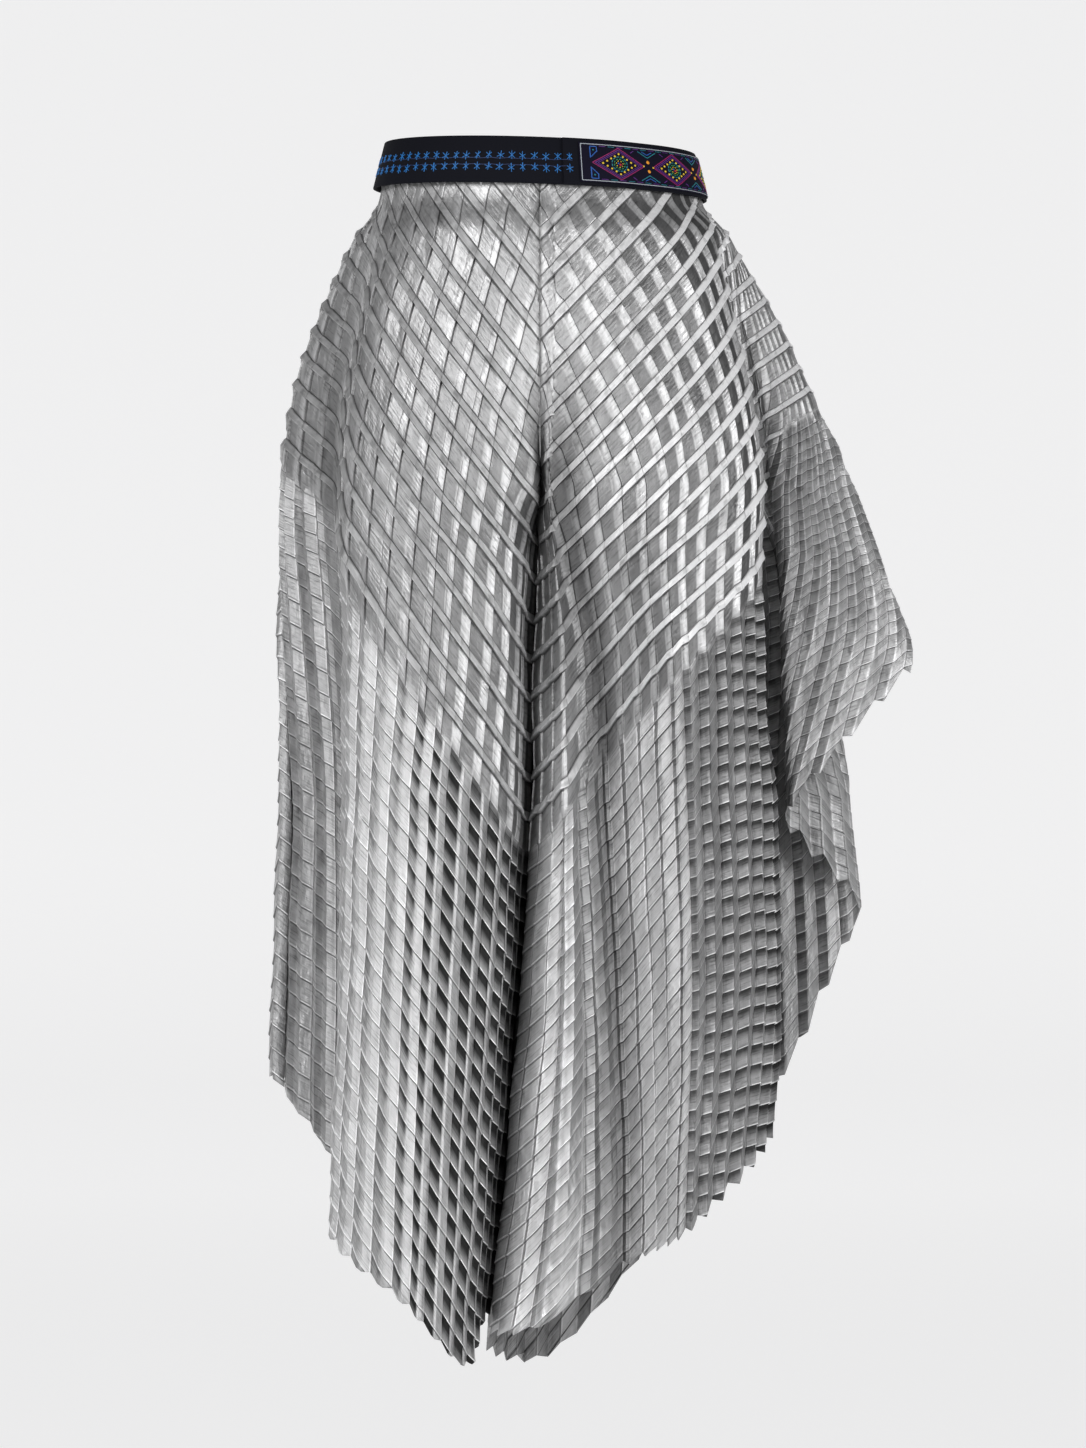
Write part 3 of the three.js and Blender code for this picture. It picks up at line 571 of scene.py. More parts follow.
def sheet_mesh(name, points, keep, flip, attributes):
    """Mesh over a grid of columns, rows that lie past a column's ends fold into its end point."""
    columns, rows = points.shape[:2]
    index = np.empty((columns, rows), int)
    for c, (start, end) in enumerate(keep):
        index[c] = c * rows + np.clip(np.arange(rows), start, end)
    used, compact = np.unique(index, return_inverse=True)
    compact = compact.reshape(index.shape)
    quads = np.stack([compact[:-1, :-1], compact[1:, :-1], compact[1:, 1:], compact[:-1, 1:]], axis=-1)
    quads = quads.reshape(-1, 4)
    faces = []
    for quad in quads.tolist():
        face = [v for i, v in enumerate(quad) if v != quad[i - 1]]
        if len(face) > 2 and len(set(face)) == len(face):
            faces.append(face[::-1] if flip else face)
    mesh = bpy.data.meshes.new(name)
    mesh.from_pydata((points.reshape(-1, 3)[used] * MM).tolist(), [], faces)
    for key, values in attributes.items():
        layer = mesh.attributes.new(key, "FLOAT", "POINT")
        layer.data.foreach_set("value", values.reshape(-1)[used].astype(np.float32))
    mesh.validate()
    mesh.update()
    return add_object(name, mesh)


def add_object(name, mesh):
    obj = bpy.data.objects.new(name, mesh)
    bpy.context.scene.collection.objects.link(obj)
    return obj


def shade(obj, sharp=None):
    obj.data.polygons.foreach_set("use_smooth", [True] * len(obj.data.polygons))
    if sharp:
        obj.data.set_sharp_from_angle(angle=math.radians(sharp))


# Materials
def material(name, colour, roughness, metallic=0.0):
    made = bpy.data.materials.new(name)
    made.use_nodes = True
    shader = made.node_tree.nodes["Principled BSDF"]
    shader.inputs["Base Color"].default_value = (*colour, 1)
    shader.inputs["Roughness"].default_value = roughness
    shader.inputs["Metallic"].default_value = metallic
    return made


class Nodes:
    """Sums on the values of one material."""

    def __init__(self, made):
        self.tree = made.node_tree
        self.shader = self.tree.nodes["Principled BSDF"]

    def new(self, kind):
        return self.tree.nodes.new(kind)

    def put(self, socket, value):
        if isinstance(value, (int, float, tuple)):
            socket.default_value = value
        else:
            self.tree.links.new(value, socket)

    def math(self, operation, *values):
        node = self.new("ShaderNodeMath")
        node.operation = operation
        for socket, value in zip(node.inputs, values):
            self.put(socket, value)
        return node.outputs[0]

    def mul(self, *values):
        return reduce(lambda a, b: self.math("MULTIPLY", a, b), values)

    def add(self, *values):
        return reduce(lambda a, b: self.math("ADD", a, b), values)

    def most(self, *values):
        return reduce(lambda a, b: self.math("MAXIMUM", a, b), values)

    def rest(self, value):
        return self.math("SUBTRACT", 1.0, value)

    def mark(self, name):
        node = self.new("ShaderNodeAttribute")
        node.attribute_name = name
        return node.outputs["Fac"]

    def ramp(self, value, low, high, at_low, at_high):
        node = self.new("ShaderNodeMapRange")
        for socket, number in zip(node.inputs, (value, low, high, at_low, at_high)):
            self.put(socket, number)
        return node.outputs["Result"]

    def near(self, phase, centre, half, strength=1.0):
        """Strength of a painted shade line or painted highlight, along a pressed line that repeats with the
        phase, falling to nothing beside it.
        """
        shifted = self.math("FRACT", self.math("ADD", phase, 0.5 - centre))
        away = self.math("ABSOLUTE", self.math("SUBTRACT", shifted, 0.5))
        return self.ramp(away, 0.0, half, strength, 0.0)

    def vector(self, x, y):
        node = self.new("ShaderNodeCombineXYZ")
        self.put(node.inputs["X"], x)
        self.put(node.inputs["Y"], y)
        return node.outputs["Vector"]

    def noise(self, scale, detail, place):
        node = self.new("ShaderNodeTexNoise")
        self.put(node.inputs["Scale"], scale)
        self.put(node.inputs["Detail"], detail)
        self.put(node.inputs["Vector"], place)
        return node.outputs["Fac"]

    def grain(self, scale, detail, stretch):
        """Noise through the whole piece, stretched along its axes."""
        mapping = self.new("ShaderNodeMapping")
        self.put(mapping.inputs["Scale"], stretch)
        self.put(mapping.inputs["Vector"], self.new("ShaderNodeTexCoord").outputs["Object"])
        return self.noise(scale, detail, mapping.outputs["Vector"])

    def bump(self, strength, distance, height):
        node = self.new("ShaderNodeBump")
        self.put(node.inputs["Strength"], strength)
        self.put(node.inputs["Distance"], distance)
        self.put(node.inputs["Height"], height)
        self.put(self.shader.inputs["Normal"], node.outputs["Normal"])


# Places of the painted shade lines and painted highlights along the pressed lines of the satin, as shares
# of a tuck spacing and of a pleat
TUCK_FOOT = 0.275
TUCK_RIM = 0.225
FLAP_LINE = 0.37
FLAP_MIDDLE = 0.2
RIB_LINE = 0.38
VALLEY_LINE = 0.03
RIDGE_LINE = 0.975
CREASE_LINE = 0.055
CREASE_LIP = 0.975


def hip_tones(n, tuck, pleat, across, on_tuck):
    """Painted shade and painted highlights of the hips, from the edges of the tucks and of the upright
    flaps, with painted light and shade on the tuck strips.
    """
    off_tuck = n.rest(on_tuck)
    # Painted shade lines on both edges of every tuck and beside each flap edge, painted shade in the recess
    # beside each flap, and a faint painted shade line where a flap edge crosses a tuck
    tuck_edge_shade = n.most(n.near(tuck, 0.0, 0.03, 0.75), n.near(tuck, TUCK_FOOT, 0.045, 0.75))
    flap_edge_shade = n.mul(n.near(pleat, FLAP_LINE, 0.045, 0.65), off_tuck)
    recess = n.mul(n.ramp(across, FLAP_LINE, 0.41, 0.0, 1.0), n.ramp(across, 0.9, 1.0, 1.0, 0.0), off_tuck)
    tick_shade = n.mul(n.near(pleat, FLAP_LINE, 0.035, 0.35), on_tuck)
    dark = n.most(tuck_edge_shade, flap_edge_shade, n.mul(recess, n.mark("recess")), tick_shade)
    # Tuck strips painted lighter or darker by the strip table, as painted light and shade of how they catch
    # the light
    strip = n.math("MULTIPLY_ADD", n.math("SUBTRACT", n.mark("strip"), 1.0), on_tuck, 1.0)
    # Painted sheen down the middle of each flap and a painted highlight along the lower rim of each tuck
    flap_sheen = n.mul(n.near(pleat, FLAP_MIDDLE, 0.13, 0.22), off_tuck)
    return dark, n.add(strip, n.most(n.near(tuck, TUCK_RIM, 0.025, 0.25), flap_sheen))


def leg_tones(n, pleat, across):
    """Painted shade and painted highlights of the legs, from the cross creases with a painted shadow in the
    pocket under each, and from the pleats.
    """
    creases = n.mark("crease_phase")
    below = n.math("FRACT", creases)
    fold = n.mark("fold")
    # Painted shadow in the pocket under each cross crease, darkest under the crease and over the open half
    # of the cell, as far as the pocket table reaches
    depth = n.mark("pocket")
    open_half = n.mul(depth, n.ramp(across, 0.42, 0.54, 1.0, 0.0))
    pocket = n.mul(
        n.ramp(below, n.mul(depth, 0.26), n.math("MULTIPLY_ADD", depth, 0.7, 0.1), 1.0, 0.4),
        n.ramp(open_half, 0.05, 0.8, 0.0, 0.97),
        n.ramp(below, 0.9, 0.94, 1.0, 0.0),
    )
    # Painted shade lines in the creases, painted shade under each crease on the ribs and in the pleat
    # valleys, and painted highlights on the ridges, ribs and crease lips
    crease = n.near(creases, CREASE_LINE, 0.05, 0.72)
    under = n.mul(n.ramp(below, 0.05, 0.9, 0.5, 0.0), n.mark("rib"))
    valley_shade = n.most(n.ramp(fold, 0.0, 0.12, 0.35, 0.0), n.near(pleat, VALLEY_LINE, 0.035, 0.6))
    ridge = n.most(n.ramp(fold, 0.9, 0.99, 0.0, 0.22), n.near(pleat, RIDGE_LINE, 0.04, 0.8))
    rib = n.mul(n.near(pleat, RIB_LINE, 0.09), n.mark("rib"))
    lip_highlight = n.near(creases, CREASE_LIP, 0.04, 0.9)
    return n.most(valley_shade, under, crease, pocket), n.add(1.0, rib, n.most(ridge, lip_highlight))


SILVER = (0.62, 0.62, 0.625)
SATIN_METAL = 0.7
TUCK_METAL = 0.2


def satin_material():
    """Silver foil satin with painted shade in its pressed edges and pockets, painted highlights on its
    ridges and lips, and small creases in every cell, bumped and also shaded in paint.
    """
    made = material("silver_satin", SILVER, 0.42, SATIN_METAL)
    n = Nodes(made)
    tuck = n.mark("tuck_phase")
    pleat = n.mark("pleat_line")
    legs = n.mark("zone")
    hips = n.rest(legs)
    part = n.math("FRACT", tuck)
    across = n.math("FRACT", pleat)
    off_tuck = n.math("GREATER_THAN", part, TUCK_PART[1])
    on_tuck = n.rest(off_tuck)
    hip_dark, hip_light = hip_tones(n, tuck, pleat, across, on_tuck)
    leg_dark, leg_light = leg_tones(n, pleat, across)
    dark = n.add(n.mul(hips, hip_dark), n.mul(legs, leg_dark))

    # Tone of every cell by chance, painted shade of small crinkles in its upper corner, and painted shade
    # lines of fine creases along the tucks
    chance = n.new("ShaderNodeTexWhiteNoise")
    n.put(chance.inputs["Vector"], n.vector(n.math("FLOOR", tuck), n.math("FLOOR", pleat)))
    tone = n.ramp(chance.outputs["Value"], 0.0, 1.0, 0.86, 1.04)
    pressed = n.noise(1.0, 3.0, n.vector(n.mul(pleat, 1.6), n.mul(tuck, 11.0)))
    streaks = n.mul(n.math("MULTIPLY_ADD", pressed, 0.55, n.grain(170.0, 3.0, (1.0, 1.0, 0.35))), 0.65)
    corner = n.mul(n.ramp(part, 0.3, 0.85, 1.0, 0.3), n.ramp(across, 0.35, 0.75, 1.0, 0.35))
    crinkle_shade = n.rest(n.mul(n.ramp(streaks, 0.4, 0.58, 0.42, -0.05), corner))
    fine_crease_shade = n.mul(n.ramp(pressed, 0.36, 0.43, 0.22, 0.0), off_tuck)
    crinkle_shade = n.math("SUBTRACT", crinkle_shade, fine_crease_shade)

    # Colour: random cell tone times the painted crinkle shade, the painted shade of edges, pockets,
    # hollows, cleft and seams, and the painted highlights
    light = n.mul(tone, crinkle_shade, n.rest(dark), n.rest(n.mark("hollow")))
    light = n.mul(light, n.add(n.mul(hip_light, hips), n.mul(leg_light, legs)))
    metal = n.math("MULTIPLY_ADD", n.mul(on_tuck, hips), TUCK_METAL - SATIN_METAL, SATIN_METAL)
    n.put(n.shader.inputs["Metallic"], metal)
    colour = n.new("ShaderNodeVectorMath")
    colour.operation = "SCALE"
    n.put(colour.inputs[0], SILVER)
    n.put(colour.inputs["Scale"], n.math("MINIMUM", light, 1.5))
    n.put(n.shader.inputs["Base Color"], colour.outputs["Vector"])
    height = n.math("MULTIPLY_ADD", streaks, 2.2, n.grain(60.0, 4.0, (1.0, 1.0, 0.6)))
    n.bump(0.6, 0.0012, n.math("SUBTRACT", height, n.mul(dark, 0.5)))
    return made


SATIN = satin_material()

# Tables over the girth: hem teeth, depth of the leg pleats and of the painted shadow in their pockets,
# painted light and shade of the tucks, painted shade beside the flaps, painted highlights and shade on the
# ribs, tucks that turn to creases early, and painted shade of hollows, cleft and dimmed parts
NOWHERE = [(0, 0)]
PANEL_DEFAULTS = dict(
    plain_from=99, twins=(99, 99), tooth=[(0, 5)], low_recess=NOWHERE, rib=NOWHERE, early=NOWHERE,
    hollow=NOWHERE, cleft=NOWHERE,
)
PANEL_SPECS = {
    "right_front_panel": dict(
        seed=3, crease=17.6, sway=1.5, ridge=0.5, twins=(15, 99),
        deep=[(0, 0.6), (60, 0.75), (140, 0.7), (190, 0.4), (240, 0.5), (345, 0.75)],
        pocket=[(0, 0.9), (60, 1.3), (135, 1.35), (180, 0.6), (215, 0.1), (345, 0.05)],
        strip=[(0, 1.3), (80, 1.25), (150, 0.95), (230, 0.62), (345, 0.62)],
        recess=[(0, 0.1), (120, 0.15), (345, 0.3)],
        low_recess=[(0, 0.3), (60, 0.5), (140, 0.45), (190, 0.15), (230, 0)],
        hollow=[(0, 0.95), (45, 0.9), (62, 0.3), (78, 0), (255, 0), (275, 0.4), (290, 0.4), (315, 0)],
        cleft=[(0, 0.5), (60, 0.3), (90, 0)],
        dim=[(230, 0), (270, 0.15), (345, 0.2)],
        cut=(0.36, 0.92), area=0.29,
    ),
    "right_back_panel": dict(
        seed=5, crease=17.6, sway=1.5, ridge=0.62, plain_from=0,
        deep=[(345, 0.75), (659, 0.9)],
        pocket=[(345, 0.3)],
        strip=[(345, 0.8), (659, 1.0)],
        recess=[(345, 0.3), (659, 0.2)],
        dim=[(345, 0.2), (659, 0)],
        cut=(0.34, 0.88), area=0.256,
    ),
    "left_front_panel": dict(
        seed=8, crease=15.5, sway=3.0, ridge=0.38, twins=(6, 8.3),
        deep=[(0, 0.5), (100, 0.8), (150, 0.8), (210, 0.9), (302, 1.0)],
        pocket=[(0, 0.6), (60, 0.5), (90, 0.05), (150, 0.1), (190, 0.45), (240, 0.7), (302, 0.8)],
        strip=[(0, 1.15), (90, 1.1), (130, 1.25), (220, 1.9), (302, 2.1)],
        recess=[(0, 0.1), (120, 0.15), (200, 0.62), (302, 0.76)],
        low_recess=[(0, 0.1), (302, 0)],
        rib=[(92, 0), (106, 0.6), (146, 0.6), (165, 0.15)],
        hollow=[
            (0, 0.95), (50, 0.9), (68, 0.3), (86, 0), (118, 0), (134, 0.6), (147, 0.6), (162, 0),
            (325, 0), (352, 0.5), (375, 0.5),
        ],
        cleft=[(0, 0.5), (60, 0.35), (100, 0.45), (138, 0.55), (155, 0)],
        dim=[(170, 0), (215, 0.25), (360, 0.3)],
        cut=(0.38, 0.9), area=0.298,
    ),
    "left_back_panel": dict(
        seed=9, crease=15.5, sway=2.5, ridge=0.38, plain_from=31,
        tooth=[(360, 8), (580, 11), (700, 6)],
        deep=[(360, 0.9)],
        pocket=[(360, 0.7), (420, 0.5), (460, 0.1), (620, 0.1), (700, 0.3)],
        strip=[(360, 1.9), (580, 2.1), (700, 1.0)],
        recess=[(360, 0.62), (1001, 0.25)],
        rib=[(400, 0), (450, 0.65), (620, 0.7), (700, 0)],
        early=[(420, 0), (500, 2), (620, 2), (700, 0)],
        hollow=[(380, 0.4), (400, 0), (465, 0), (480, 0.5), (492, 0.5), (510, 0)],
        dim=[(360, 0.3), (480, 0.1), (580, 0), (700, 0.1), (816, 0.5), (946, 0.5), (1001, 0.2)],
        cut=(0.62, 0.92), area=0.396,
    ),
}
SHARP_CREASE = 14

right = Leg(-1, RIGHT_FOLDS, RIGHT_SECTIONS, 6)
left = Leg(1, LEFT_FOLDS, LEFT_SECTIONS, 9)
for name, leg, first, last in (
    ("right_front_panel", right, 0, 19.97),
    ("right_back_panel", right, 20.03, 40),
    ("left_front_panel", left, 0, 20.47),
    ("left_back_panel", left, 20.53, 60),
):
    piece = Panel(leg, first, last, {**PANEL_DEFAULTS, **PANEL_SPECS[name]}).sheet("cloth_" + name)
    shade(piece, SHARP_CREASE)
    thick = piece.modifiers.new("thickness", "SOLIDIFY")
    thick.thickness = CLOTH * MM
    thick.offset = -1
    piece.data.materials.append(SATIN)
    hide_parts(name)
    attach(piece, "root")

# Waistband and its trimming, sizes in millimetres as in the solids
BAND_THICK = 2.2
BAND_TOP_OVAL = (118, 85)
BAND_LOW_OVAL = (127, 91)
BAND_EDGE = 0.8
LAP_END = 8
LAP_START = 22
LAP_RAMP = 20
LAP_GAP = 0.4
RIBBON_FROM = 13.5
RIBBON_TO = 118
RIBBON_LOW = 2.6
RIBBON_TOP = 32.6
RIBBON_THICK = 1.0
RIBBON_GAP = 0.35


def band_point(angle, up, out):
    """Point on the band, its angle runs from the middle front to the left of the wearer."""
    angle, up, out = np.broadcast_arrays(angle, up, out)
    share = up / BAND_TALL
    wide = BAND_LOW_OVAL[0] + (BAND_TOP_OVAL[0] - BAND_LOW_OVAL[0]) * share + out
    deep = BAND_LOW_OVAL[1] + (BAND_TOP_OVAL[1] - BAND_LOW_OVAL[1]) * share + out
    turn = np.radians(angle)
    x = wide * np.sin(turn)
    return np.stack([x, -deep * np.cos(turn), BAND_LOW + up + WAIST_TILT * x], axis=-1)


def lap_lift(angle):
    return (BAND_THICK + LAP_GAP) * ease(0, 1, (LAP_START + LAP_RAMP - angle) / LAP_RAMP)


# Lengths round the band at half its height, from the middle front
ARC_ANGLES = np.arange(-300.0, 131.0, 0.5)
ARC_STEPS = np.linalg.norm(np.diff(band_point(ARC_ANGLES, BAND_TALL / 2, 0), axis=0), axis=1)
ARC_LENGTHS = np.concatenate([[0], np.cumsum(ARC_STEPS)])
ARC_LENGTHS -= np.interp(0, ARC_ANGLES, ARC_LENGTHS)


def angle_at(arc):
    return np.interp(arc, ARC_LENGTHS, ARC_ANGLES)


def arc_at(angle):
    return float(np.interp(angle, ARC_ANGLES, ARC_LENGTHS))


def closed_mesh(name, points, faces):
    """Mesh of closed bodies with all their faces turned out."""
    mesh = bpy.data.meshes.new(name)
    mesh.from_pydata((np.asarray(points) * MM).tolist(), [], faces)
    work = bmesh.new()
    work.from_mesh(mesh)
    bmesh.ops.recalc_face_normals(work, faces=work.faces)
    work.to_mesh(mesh)
    work.free()
    return add_object(name, mesh)


def tube_faces(count, around, first=0):
    """Faces of a run of rings, closed at both ends."""
    faces = []
    for i in range(count - 1):
        for j in range(around):
            a = first + i * around
            k = (j + 1) % around
            faces.append((a + j, a + around + j, a + around + k, a + k))
    last = first + (count - 1) * around
    faces.append(tuple(range(first + around - 1, first - 1, -1)))
    faces.append(tuple(range(last, last + around)))
    return faces


def strip(name, angles, profile, ground):
    """Strip round the band, with one cross-section of up and out points and the height of its ground."""
    ups = np.array([row[0] for row in profile])
    outs = np.array([row[1] for row in profile])
    rings = band_point(angles[:, None], ups[None, :], ground[:, None] + outs[None, :])
    return closed_mesh(name, rings.reshape(-1, 3), tube_faces(len(angles), len(profile)))


def waistband():
    angles = np.linspace(LAP_START, LAP_END - 360, 300)
    lift = np.where(angles < -180, lap_lift(angles + 360), 0)
    edge = BAND_EDGE
    low = [(0, -edge), (0.25, -0.25), (edge, 0)]
    top = [(BAND_TALL - up, out) for up, out in reversed(low)]
    outer = low + top
    inner = [(up, -BAND_THICK - out) for up, out in reversed(outer)]
    return strip("cloth_waistband", angles, outer + inner, lift)


def ribbon():
    angles = np.linspace(RIBBON_FROM, RIBBON_TO, 110)
    edge = RIBBON_THICK * 0.4
    profile = [
        (RIBBON_LOW, 0), (RIBBON_LOW, RIBBON_THICK - edge), (RIBBON_LOW + edge, RIBBON_THICK),
        (RIBBON_TOP - edge, RIBBON_THICK), (RIBBON_TOP, RIBBON_THICK - edge), (RIBBON_TOP, 0),
    ]
    return strip("cloth_ornament_ribbon", angles, profile, lap_lift(angles) + RIBBON_GAP)


THREAD_STEP = 3
THREAD_SUNK = 0.12
THREAD_SECTION = (-0.5, -0.28, 0.28, 0.5)


class Embroidery:
    """Threads and knots of one colour on the band, gathered in one piece."""

    def __init__(self, name, colour, ground):
        self.name = name
        self.colour = colour
        self.ground = ground
        self.points = []
        self.faces = []

    def put(self, arc, up, out):
        angle = angle_at(arc)
        self.points.extend(band_point(angle, up, self.ground(angle) + out).reshape(-1, 3))

    def thread(self, corners, width=0.6, height=0.35):
        """Stitched line through corners given as length round the band and height on it."""
        corners = np.asarray(corners, float)
        for a, b in zip(corners[:-1], corners[1:]):
            length = math.hypot(*(b - a))
            count = max(2, math.ceil(length / THREAD_STEP) + 1)
            share = np.linspace(0, 1, count)[:, None]
            line = a + (b - a) * share
            side = np.array([-(b - a)[1], (b - a)[0]]) / max(length, 1e-6)
            first = len(self.points)
            across = np.array(THREAD_SECTION) * width
            outs = np.array([-THREAD_SUNK, height, height, -THREAD_SUNK])
            spread = line[:, None, :] + side * across[None, :, None]
            self.put(spread[..., 0], spread[..., 1], np.broadcast_to(outs, spread.shape[:2]))
            self.faces += tube_faces(count, 4, first)

    def knot(self, arc, up, radius, height=0.6, sides=8):
        turn = np.arange(sides) * 2 * math.pi / sides
        first = len(self.points)
        for share, out in ((1.0, -THREAD_SUNK), (0.95, height * 0.45), (0.55, height)):
            self.put(arc + radius * share * np.cos(turn), up + radius * share * np.sin(turn), out)
        self.faces += tube_faces(3, sides, first)

    def finish(self):
        piece = closed_mesh(self.name, self.points, self.faces)
        shade(piece, 50)
        piece.data.materials.append(material("thread_" + self.name, self.colour, 0.55))
        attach(piece, "root")
        return piece


STAR_UPS = (20.8, 11.9)
STAR_PITCH = 8.6
STAR_HALF = 3.1
STAR_ARMS = (88, 38, 142)
STAR_FROM = 10.2
STAR_TO = -238
RUNNING_UPS = (18.6, 13.7)


def star_ground(angle):
    return np.where(angle >= LAP_END, lap_lift(angle), 0)


def star_stitches():
    """Two rows of star stitches and the running lines between them."""
    stars = Embroidery("star_stitches", (0.014, 0.17, 0.5), star_ground)
    rng = np.random.default_rng(12)
    arcs = np.arange(arc_at(STAR_FROM), arc_at(STAR_TO), -STAR_PITCH)
    for arc in arcs:
        for row, up in enumerate(STAR_UPS):
            centre = np.array([arc, up]) + rng.normal(0, 0.3, 2)
            for arm in STAR_ARMS:
                turn = math.radians(arm + rng.normal(0, 7))
                reach = STAR_HALF * rng.uniform(0.8, 1.1) * np.array([math.cos(turn), math.sin(turn)])
                stars.thread([centre - reach, centre + reach], 0.6, 0.4)
            if row:
                stars.thread([centre, centre + [0, 3.4]], 0.5, 0.3)
    lines = Embroidery("running_threads", (0.015, 0.035, 0.12), star_ground)
    for up in RUNNING_UPS:
        steps = np.arange(arcs[0] + 2, arcs[-1], -STAR_PITCH / 2)
        lines.thread([(arc, up + 0.25 * math.sin(arc)) for arc in steps], 0.55, 0.25)
    return [stars.finish(), lines.finish()]


# Woven trimming: the ornament repeats along it, lengths from its front end, heights from its middle line
RIBBON_MIDDLE = (RIBBON_LOW + RIBBON_TOP) / 2
MOTIF_FIRST = 30.4
MOTIF_PITCH = 50
MOTIF_HALF = (21, 12.6)
OUTLINE_INSET = 1.3
GROUND_FROM = 8.2
ORNAMENT_COLOURS = {
    "pale": (0.42, 0.45, 0.5),
    "blue": (0.015, 0.1, 0.4),
    "teal": (0.01, 0.2, 0.25),
    "violet": (0.11, 0.02, 0.22),
    "magenta": (0.3, 0.01, 0.12),
    "yellow": (0.75, 0.5, 0.03),
    "orange": (0.8, 0.3, 0.01),
    "green": (0.03, 0.3, 0.1),
    "red": (0.4, 0.01, 0.03),
}


def ribbon_ground(angle):
    return lap_lift(angle) + RIBBON_GAP + RIBBON_THICK


DIAMOND = np.array([(-1, 0), (0, 1), (1, 0), (0, -1), (-1, 0)])
BEADS = 16
RINGS = ((5.4, 12, "teal", 0.77), (3.8, 10, "green", 0.7), (2.4, 7, "yellow", 0.7))
RING_LONG = 1.15
RING_ARC = 0.35
BORDER_UP = 12.4
BORDER_PITCH = 7

# Strokes that are the same above and below the middle line: colour, width, corners
BRACKETS = (
    ("blue", 0.9, ((0, 12), (0, 3.5))),
    ("blue", 0.8, ((0, 12), (5, 12), (5, 8))),
    ("blue", 0.8, ((0.6, 4.2), (5.4, 9))),
)
CHEVRONS = (
    ("teal", 0.7, ((-8, 11), (0, 6.6), (8, 11))),
    ("blue", 0.7, ((-4.5, 11), (0, 8.8), (4.5, 11))),
    ("violet", 0.6, ((-12, 10.8), (-15, 9))),
    ("violet", 0.6, ((12, 10.8), (15, 9))),
)
HEART_KNOTS = (("blue", -1.0, 0.6, 0.7), ("red", 0.6, -0.4, 1.0))
KNOTS_BETWEEN = (
    ("orange", 0, 3.4, 1.35), ("orange", 0, -3.4, 1.35),
    ("yellow", -4.2, 0.2, 0.8), ("yellow", 4.2, -0.2, 0.7),
)


class Ornament:
    """Woven ornament, placed by length from the trimming's front end and height from its middle line."""

    def __init__(self):
        self.start = arc_at(RIBBON_FROM)
        self.far = arc_at(RIBBON_TO) - self.start - OUTLINE_INSET
        self.threads = {
            name: Embroidery("ornament_" + name, colour, ribbon_ground)
            for name, colour in ORNAMENT_COLOURS.items()
        }

    def line(self, colour, width, corners):
        self.threads[colour].thread([(self.start + s, RIBBON_MIDDLE + u) for s, u in corners], width)

    def strokes(self, table, s, sign):
        for colour, width, corners in table:
            self.line(colour, width, [(s + along, sign * u) for along, u in corners])

    def knots(self, table, s):
        for colour, along, u, radius in table:
            self.threads[colour].knot(self.start + s + along, RIBBON_MIDDLE + u, radius)

    def diamond(self, colour, s, share, tall_share, width):
        half = np.array([MOTIF_HALF[0] * share, MOTIF_HALF[1] * tall_share])
        self.line(colour, width, DIAMOND * half + [s, 0])

    def frame(self):
        """Stitched outline, brackets at the front end and the border lines."""
        tall = RIBBON_TOP - RIBBON_MIDDLE - OUTLINE_INSET
        low, far = OUTLINE_INSET, self.far
        self.line("pale", 0.7, [(low, -tall), (low, tall), (far, tall), (far, -tall), (low, -tall)])
        for sign in (1, -1):
            self.strokes(BRACKETS, GROUND_FROM, sign)
            self.knots([("teal", 2.4, sign * 9.4, 0.7)], GROUND_FROM)
            for s in np.arange(GROUND_FROM + BORDER_PITCH, far - 6, BORDER_PITCH):
                colour = "teal" if int(s / BORDER_PITCH) % 2 else "violet"
                self.line(colour, 0.5, [(s, sign * BORDER_UP), (s + 5, sign * BORDER_UP)])

    def rosette(self, s):
        """Diamond with beads round it and rings of stitches inside."""
        self.diamond("magenta", s, 1.0, 0.94, 0.75)
        self.diamond("violet", s, 0.9, 0.84, 0.7)
        self.diamond("violet", s, 0.8, 0.74, 0.5)
        corners = DIAMOND * (MOTIF_HALF[0] * 0.62, MOTIF_HALF[1] * 0.6)
        for turn in np.arange(BEADS) * 4 / BEADS:
            along, u = (np.interp(turn, range(5), corners[:, axis]) for axis in (0, 1))
            self.knots([("yellow", along, u, 0.85)], s)
        for radius, count, colour, width in RINGS:
            for k in range(count):
                turns = (2 * math.pi * k / count + step for step in (0, RING_ARC))
                ends = [(s + radius * math.cos(t) * RING_LONG, radius * math.sin(t)) for t in turns]
                self.line(colour, width, ends)
        self.knots(HEART_KNOTS, s)

    def finish(self):
        self.frame()
        for s in np.arange(MOTIF_FIRST, self.far - 8, MOTIF_PITCH):
            self.rosette(s)
            between = s + MOTIF_PITCH / 2
            if between < self.far - 6:
                self.knots(KNOTS_BETWEEN, between)
                for sign in (1, -1):
                    self.strokes(CHEVRONS, between, sign)
        return [threads.finish() for threads in self.threads.values()]


def dark_cloth(name, colour, weave):
    """Matt dark cloth with a fine weave."""
    made = material(name, colour, 0.85)
    n = Nodes(made)
    n.put(n.shader.inputs["Specular IOR Level"], 0.15)
    n.bump(0.35, 0.0006, n.grain(weave, 3.0, (1.0, 1.0, 2.2)))
    return made


BAND_CLOTH = (0.0045, 0.005, 0.009)
TRIMMING = (0.006, 0.005, 0.016)
band = waistband()
trimming = ribbon()
for piece, node, slot, finish in (
    (band, "waistband", "band_cloth", dark_cloth("band_cloth", BAND_CLOTH, 420.0)),
    (trimming, "ornament_ribbon", "woven_trimming", dark_cloth("woven_trimming", TRIMMING, 700.0)),
):
    shade(piece, 40)
    piece.data.materials.append(finish)
    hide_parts(node)
    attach(piece, "root")
stitches = star_stitches()
threads = Ornament().finish()


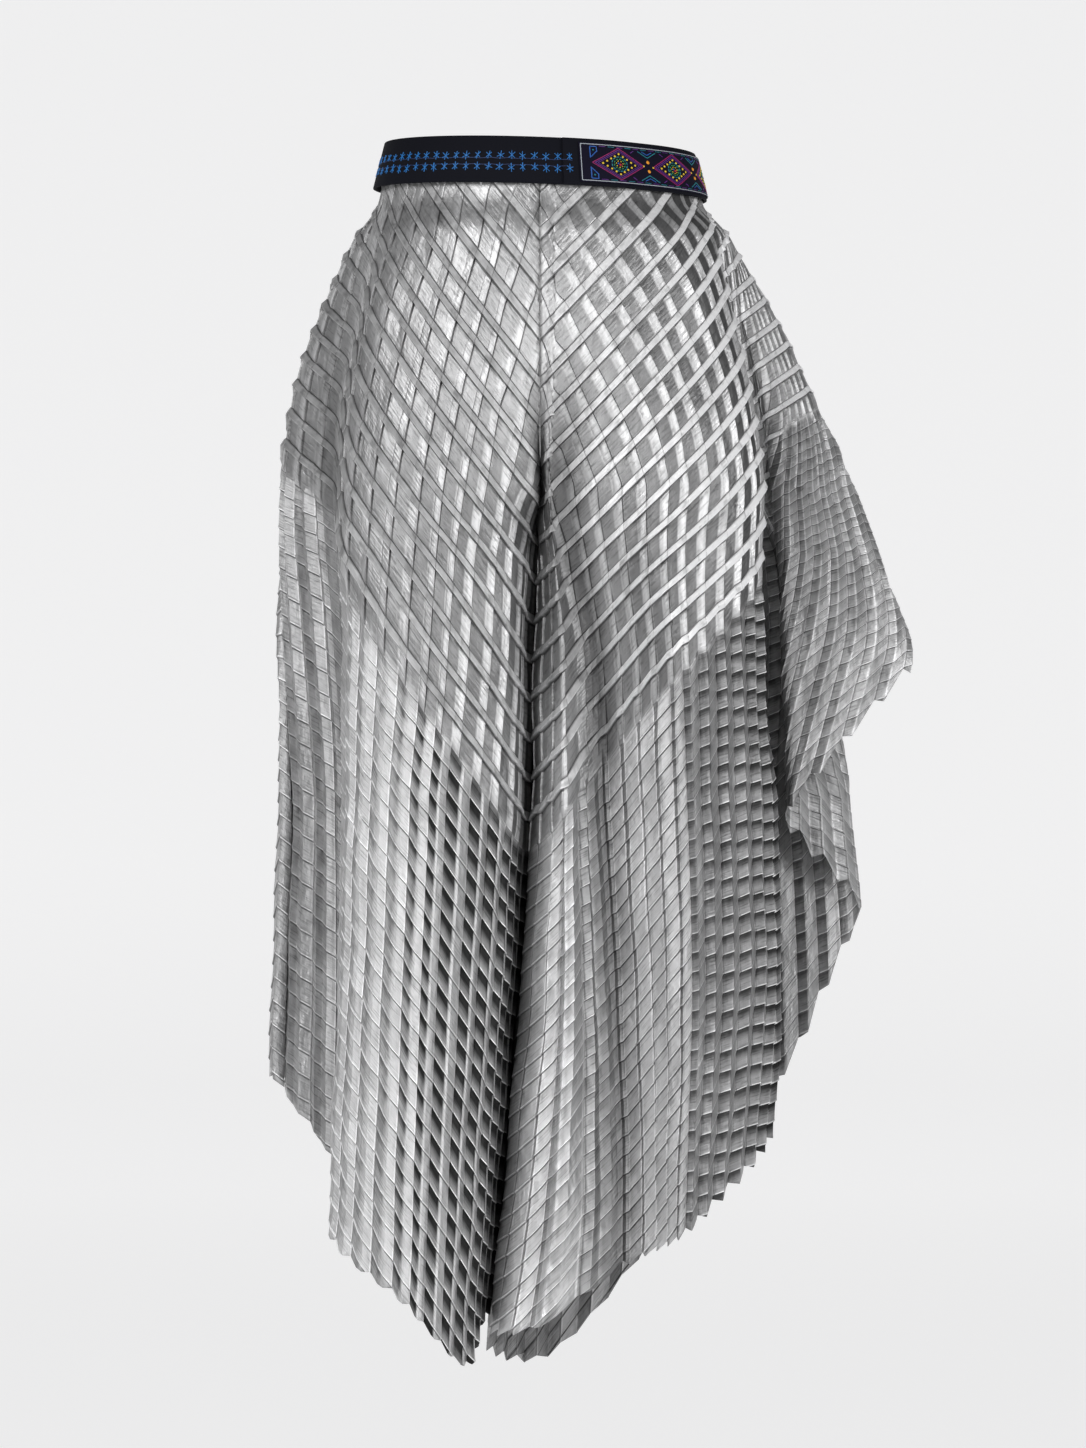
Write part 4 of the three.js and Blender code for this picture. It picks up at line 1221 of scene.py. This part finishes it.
# Floor and backdrop in one sweep
def sweep():
    depth = [-2.0, 5.2, 5.8, 6.1, 6.2]
    height = [-1.25, -1.25, -1.1, -0.7, 3.5]
    points = []
    for x in (-12.0, 12.0):
        points += [(x, y, z) for y, z in zip(depth, height)]
    n = len(depth)
    faces = [(i, i + n, i + n + 1, i + 1) for i in range(n - 1)]
    mesh = bpy.data.meshes.new("studio_sweep")
    mesh.from_pydata(points, [], faces)
    obj = add_object("studio_sweep", mesh)
    shade(obj)
    pale = material("pale_sweep", (0.4, 0.4, 0.4), 0.95)
    shader = pale.node_tree.nodes["Principled BSDF"]
    shader.inputs["Specular IOR Level"].default_value = 0.0
    shader.inputs["Emission Color"].default_value = (1.0, 1.0, 1.005, 1)
    shader.inputs["Emission Strength"].default_value = 0.68
    obj.data.materials.append(pale)
    return obj


sweep()


def softbox(name, place, target, size, power):
    light = bpy.data.lights.new(name, "AREA")
    light.shape = "RECTANGLE"
    light.size, light.size_y = size
    light.energy = power
    obj = bpy.data.objects.new(name, light)
    obj.location = place
    direction = np.array(target) - np.array(place)
    yaw = math.atan2(direction[0], direction[1])
    pitch = math.atan2(direction[2], math.hypot(direction[0], direction[1]))
    obj.rotation_euler = (math.pi / 2 + pitch, 0, -yaw)
    bpy.context.scene.collection.objects.link(obj)


CENTRE = (0.0, 0.0, -0.45)
softbox("key", (-2.4, -2.6, 1.5), CENTRE, (1.8, 1.8), 58)
softbox("front", (-0.4, -4.7, 0.2), CENTRE, (2.2, 2.2), 60)
softbox("side", (2.8, -3.2, 0.5), CENTRE, (1.6, 1.6), 62)
world = bpy.data.worlds.new("studio")
world.use_nodes = True
world.node_tree.nodes["Background"].inputs["Color"].default_value = (0.55, 0.55, 0.56, 1)
world.node_tree.nodes["Background"].inputs["Strength"].default_value = 0.2
bpy.context.scene.world = world
bpy.context.scene.view_settings.view_transform = "Standard"

camera = bpy.data.cameras.new("camera")
camera.lens = 130.85
camera_object = bpy.data.objects.new("camera", camera)
camera_object.location = (0.0023, -4.0, -0.427)
camera_object.rotation_euler = (math.pi / 2, 0, 0)
bpy.context.scene.collection.objects.link(camera_object)
bpy.context.scene.camera = camera_object
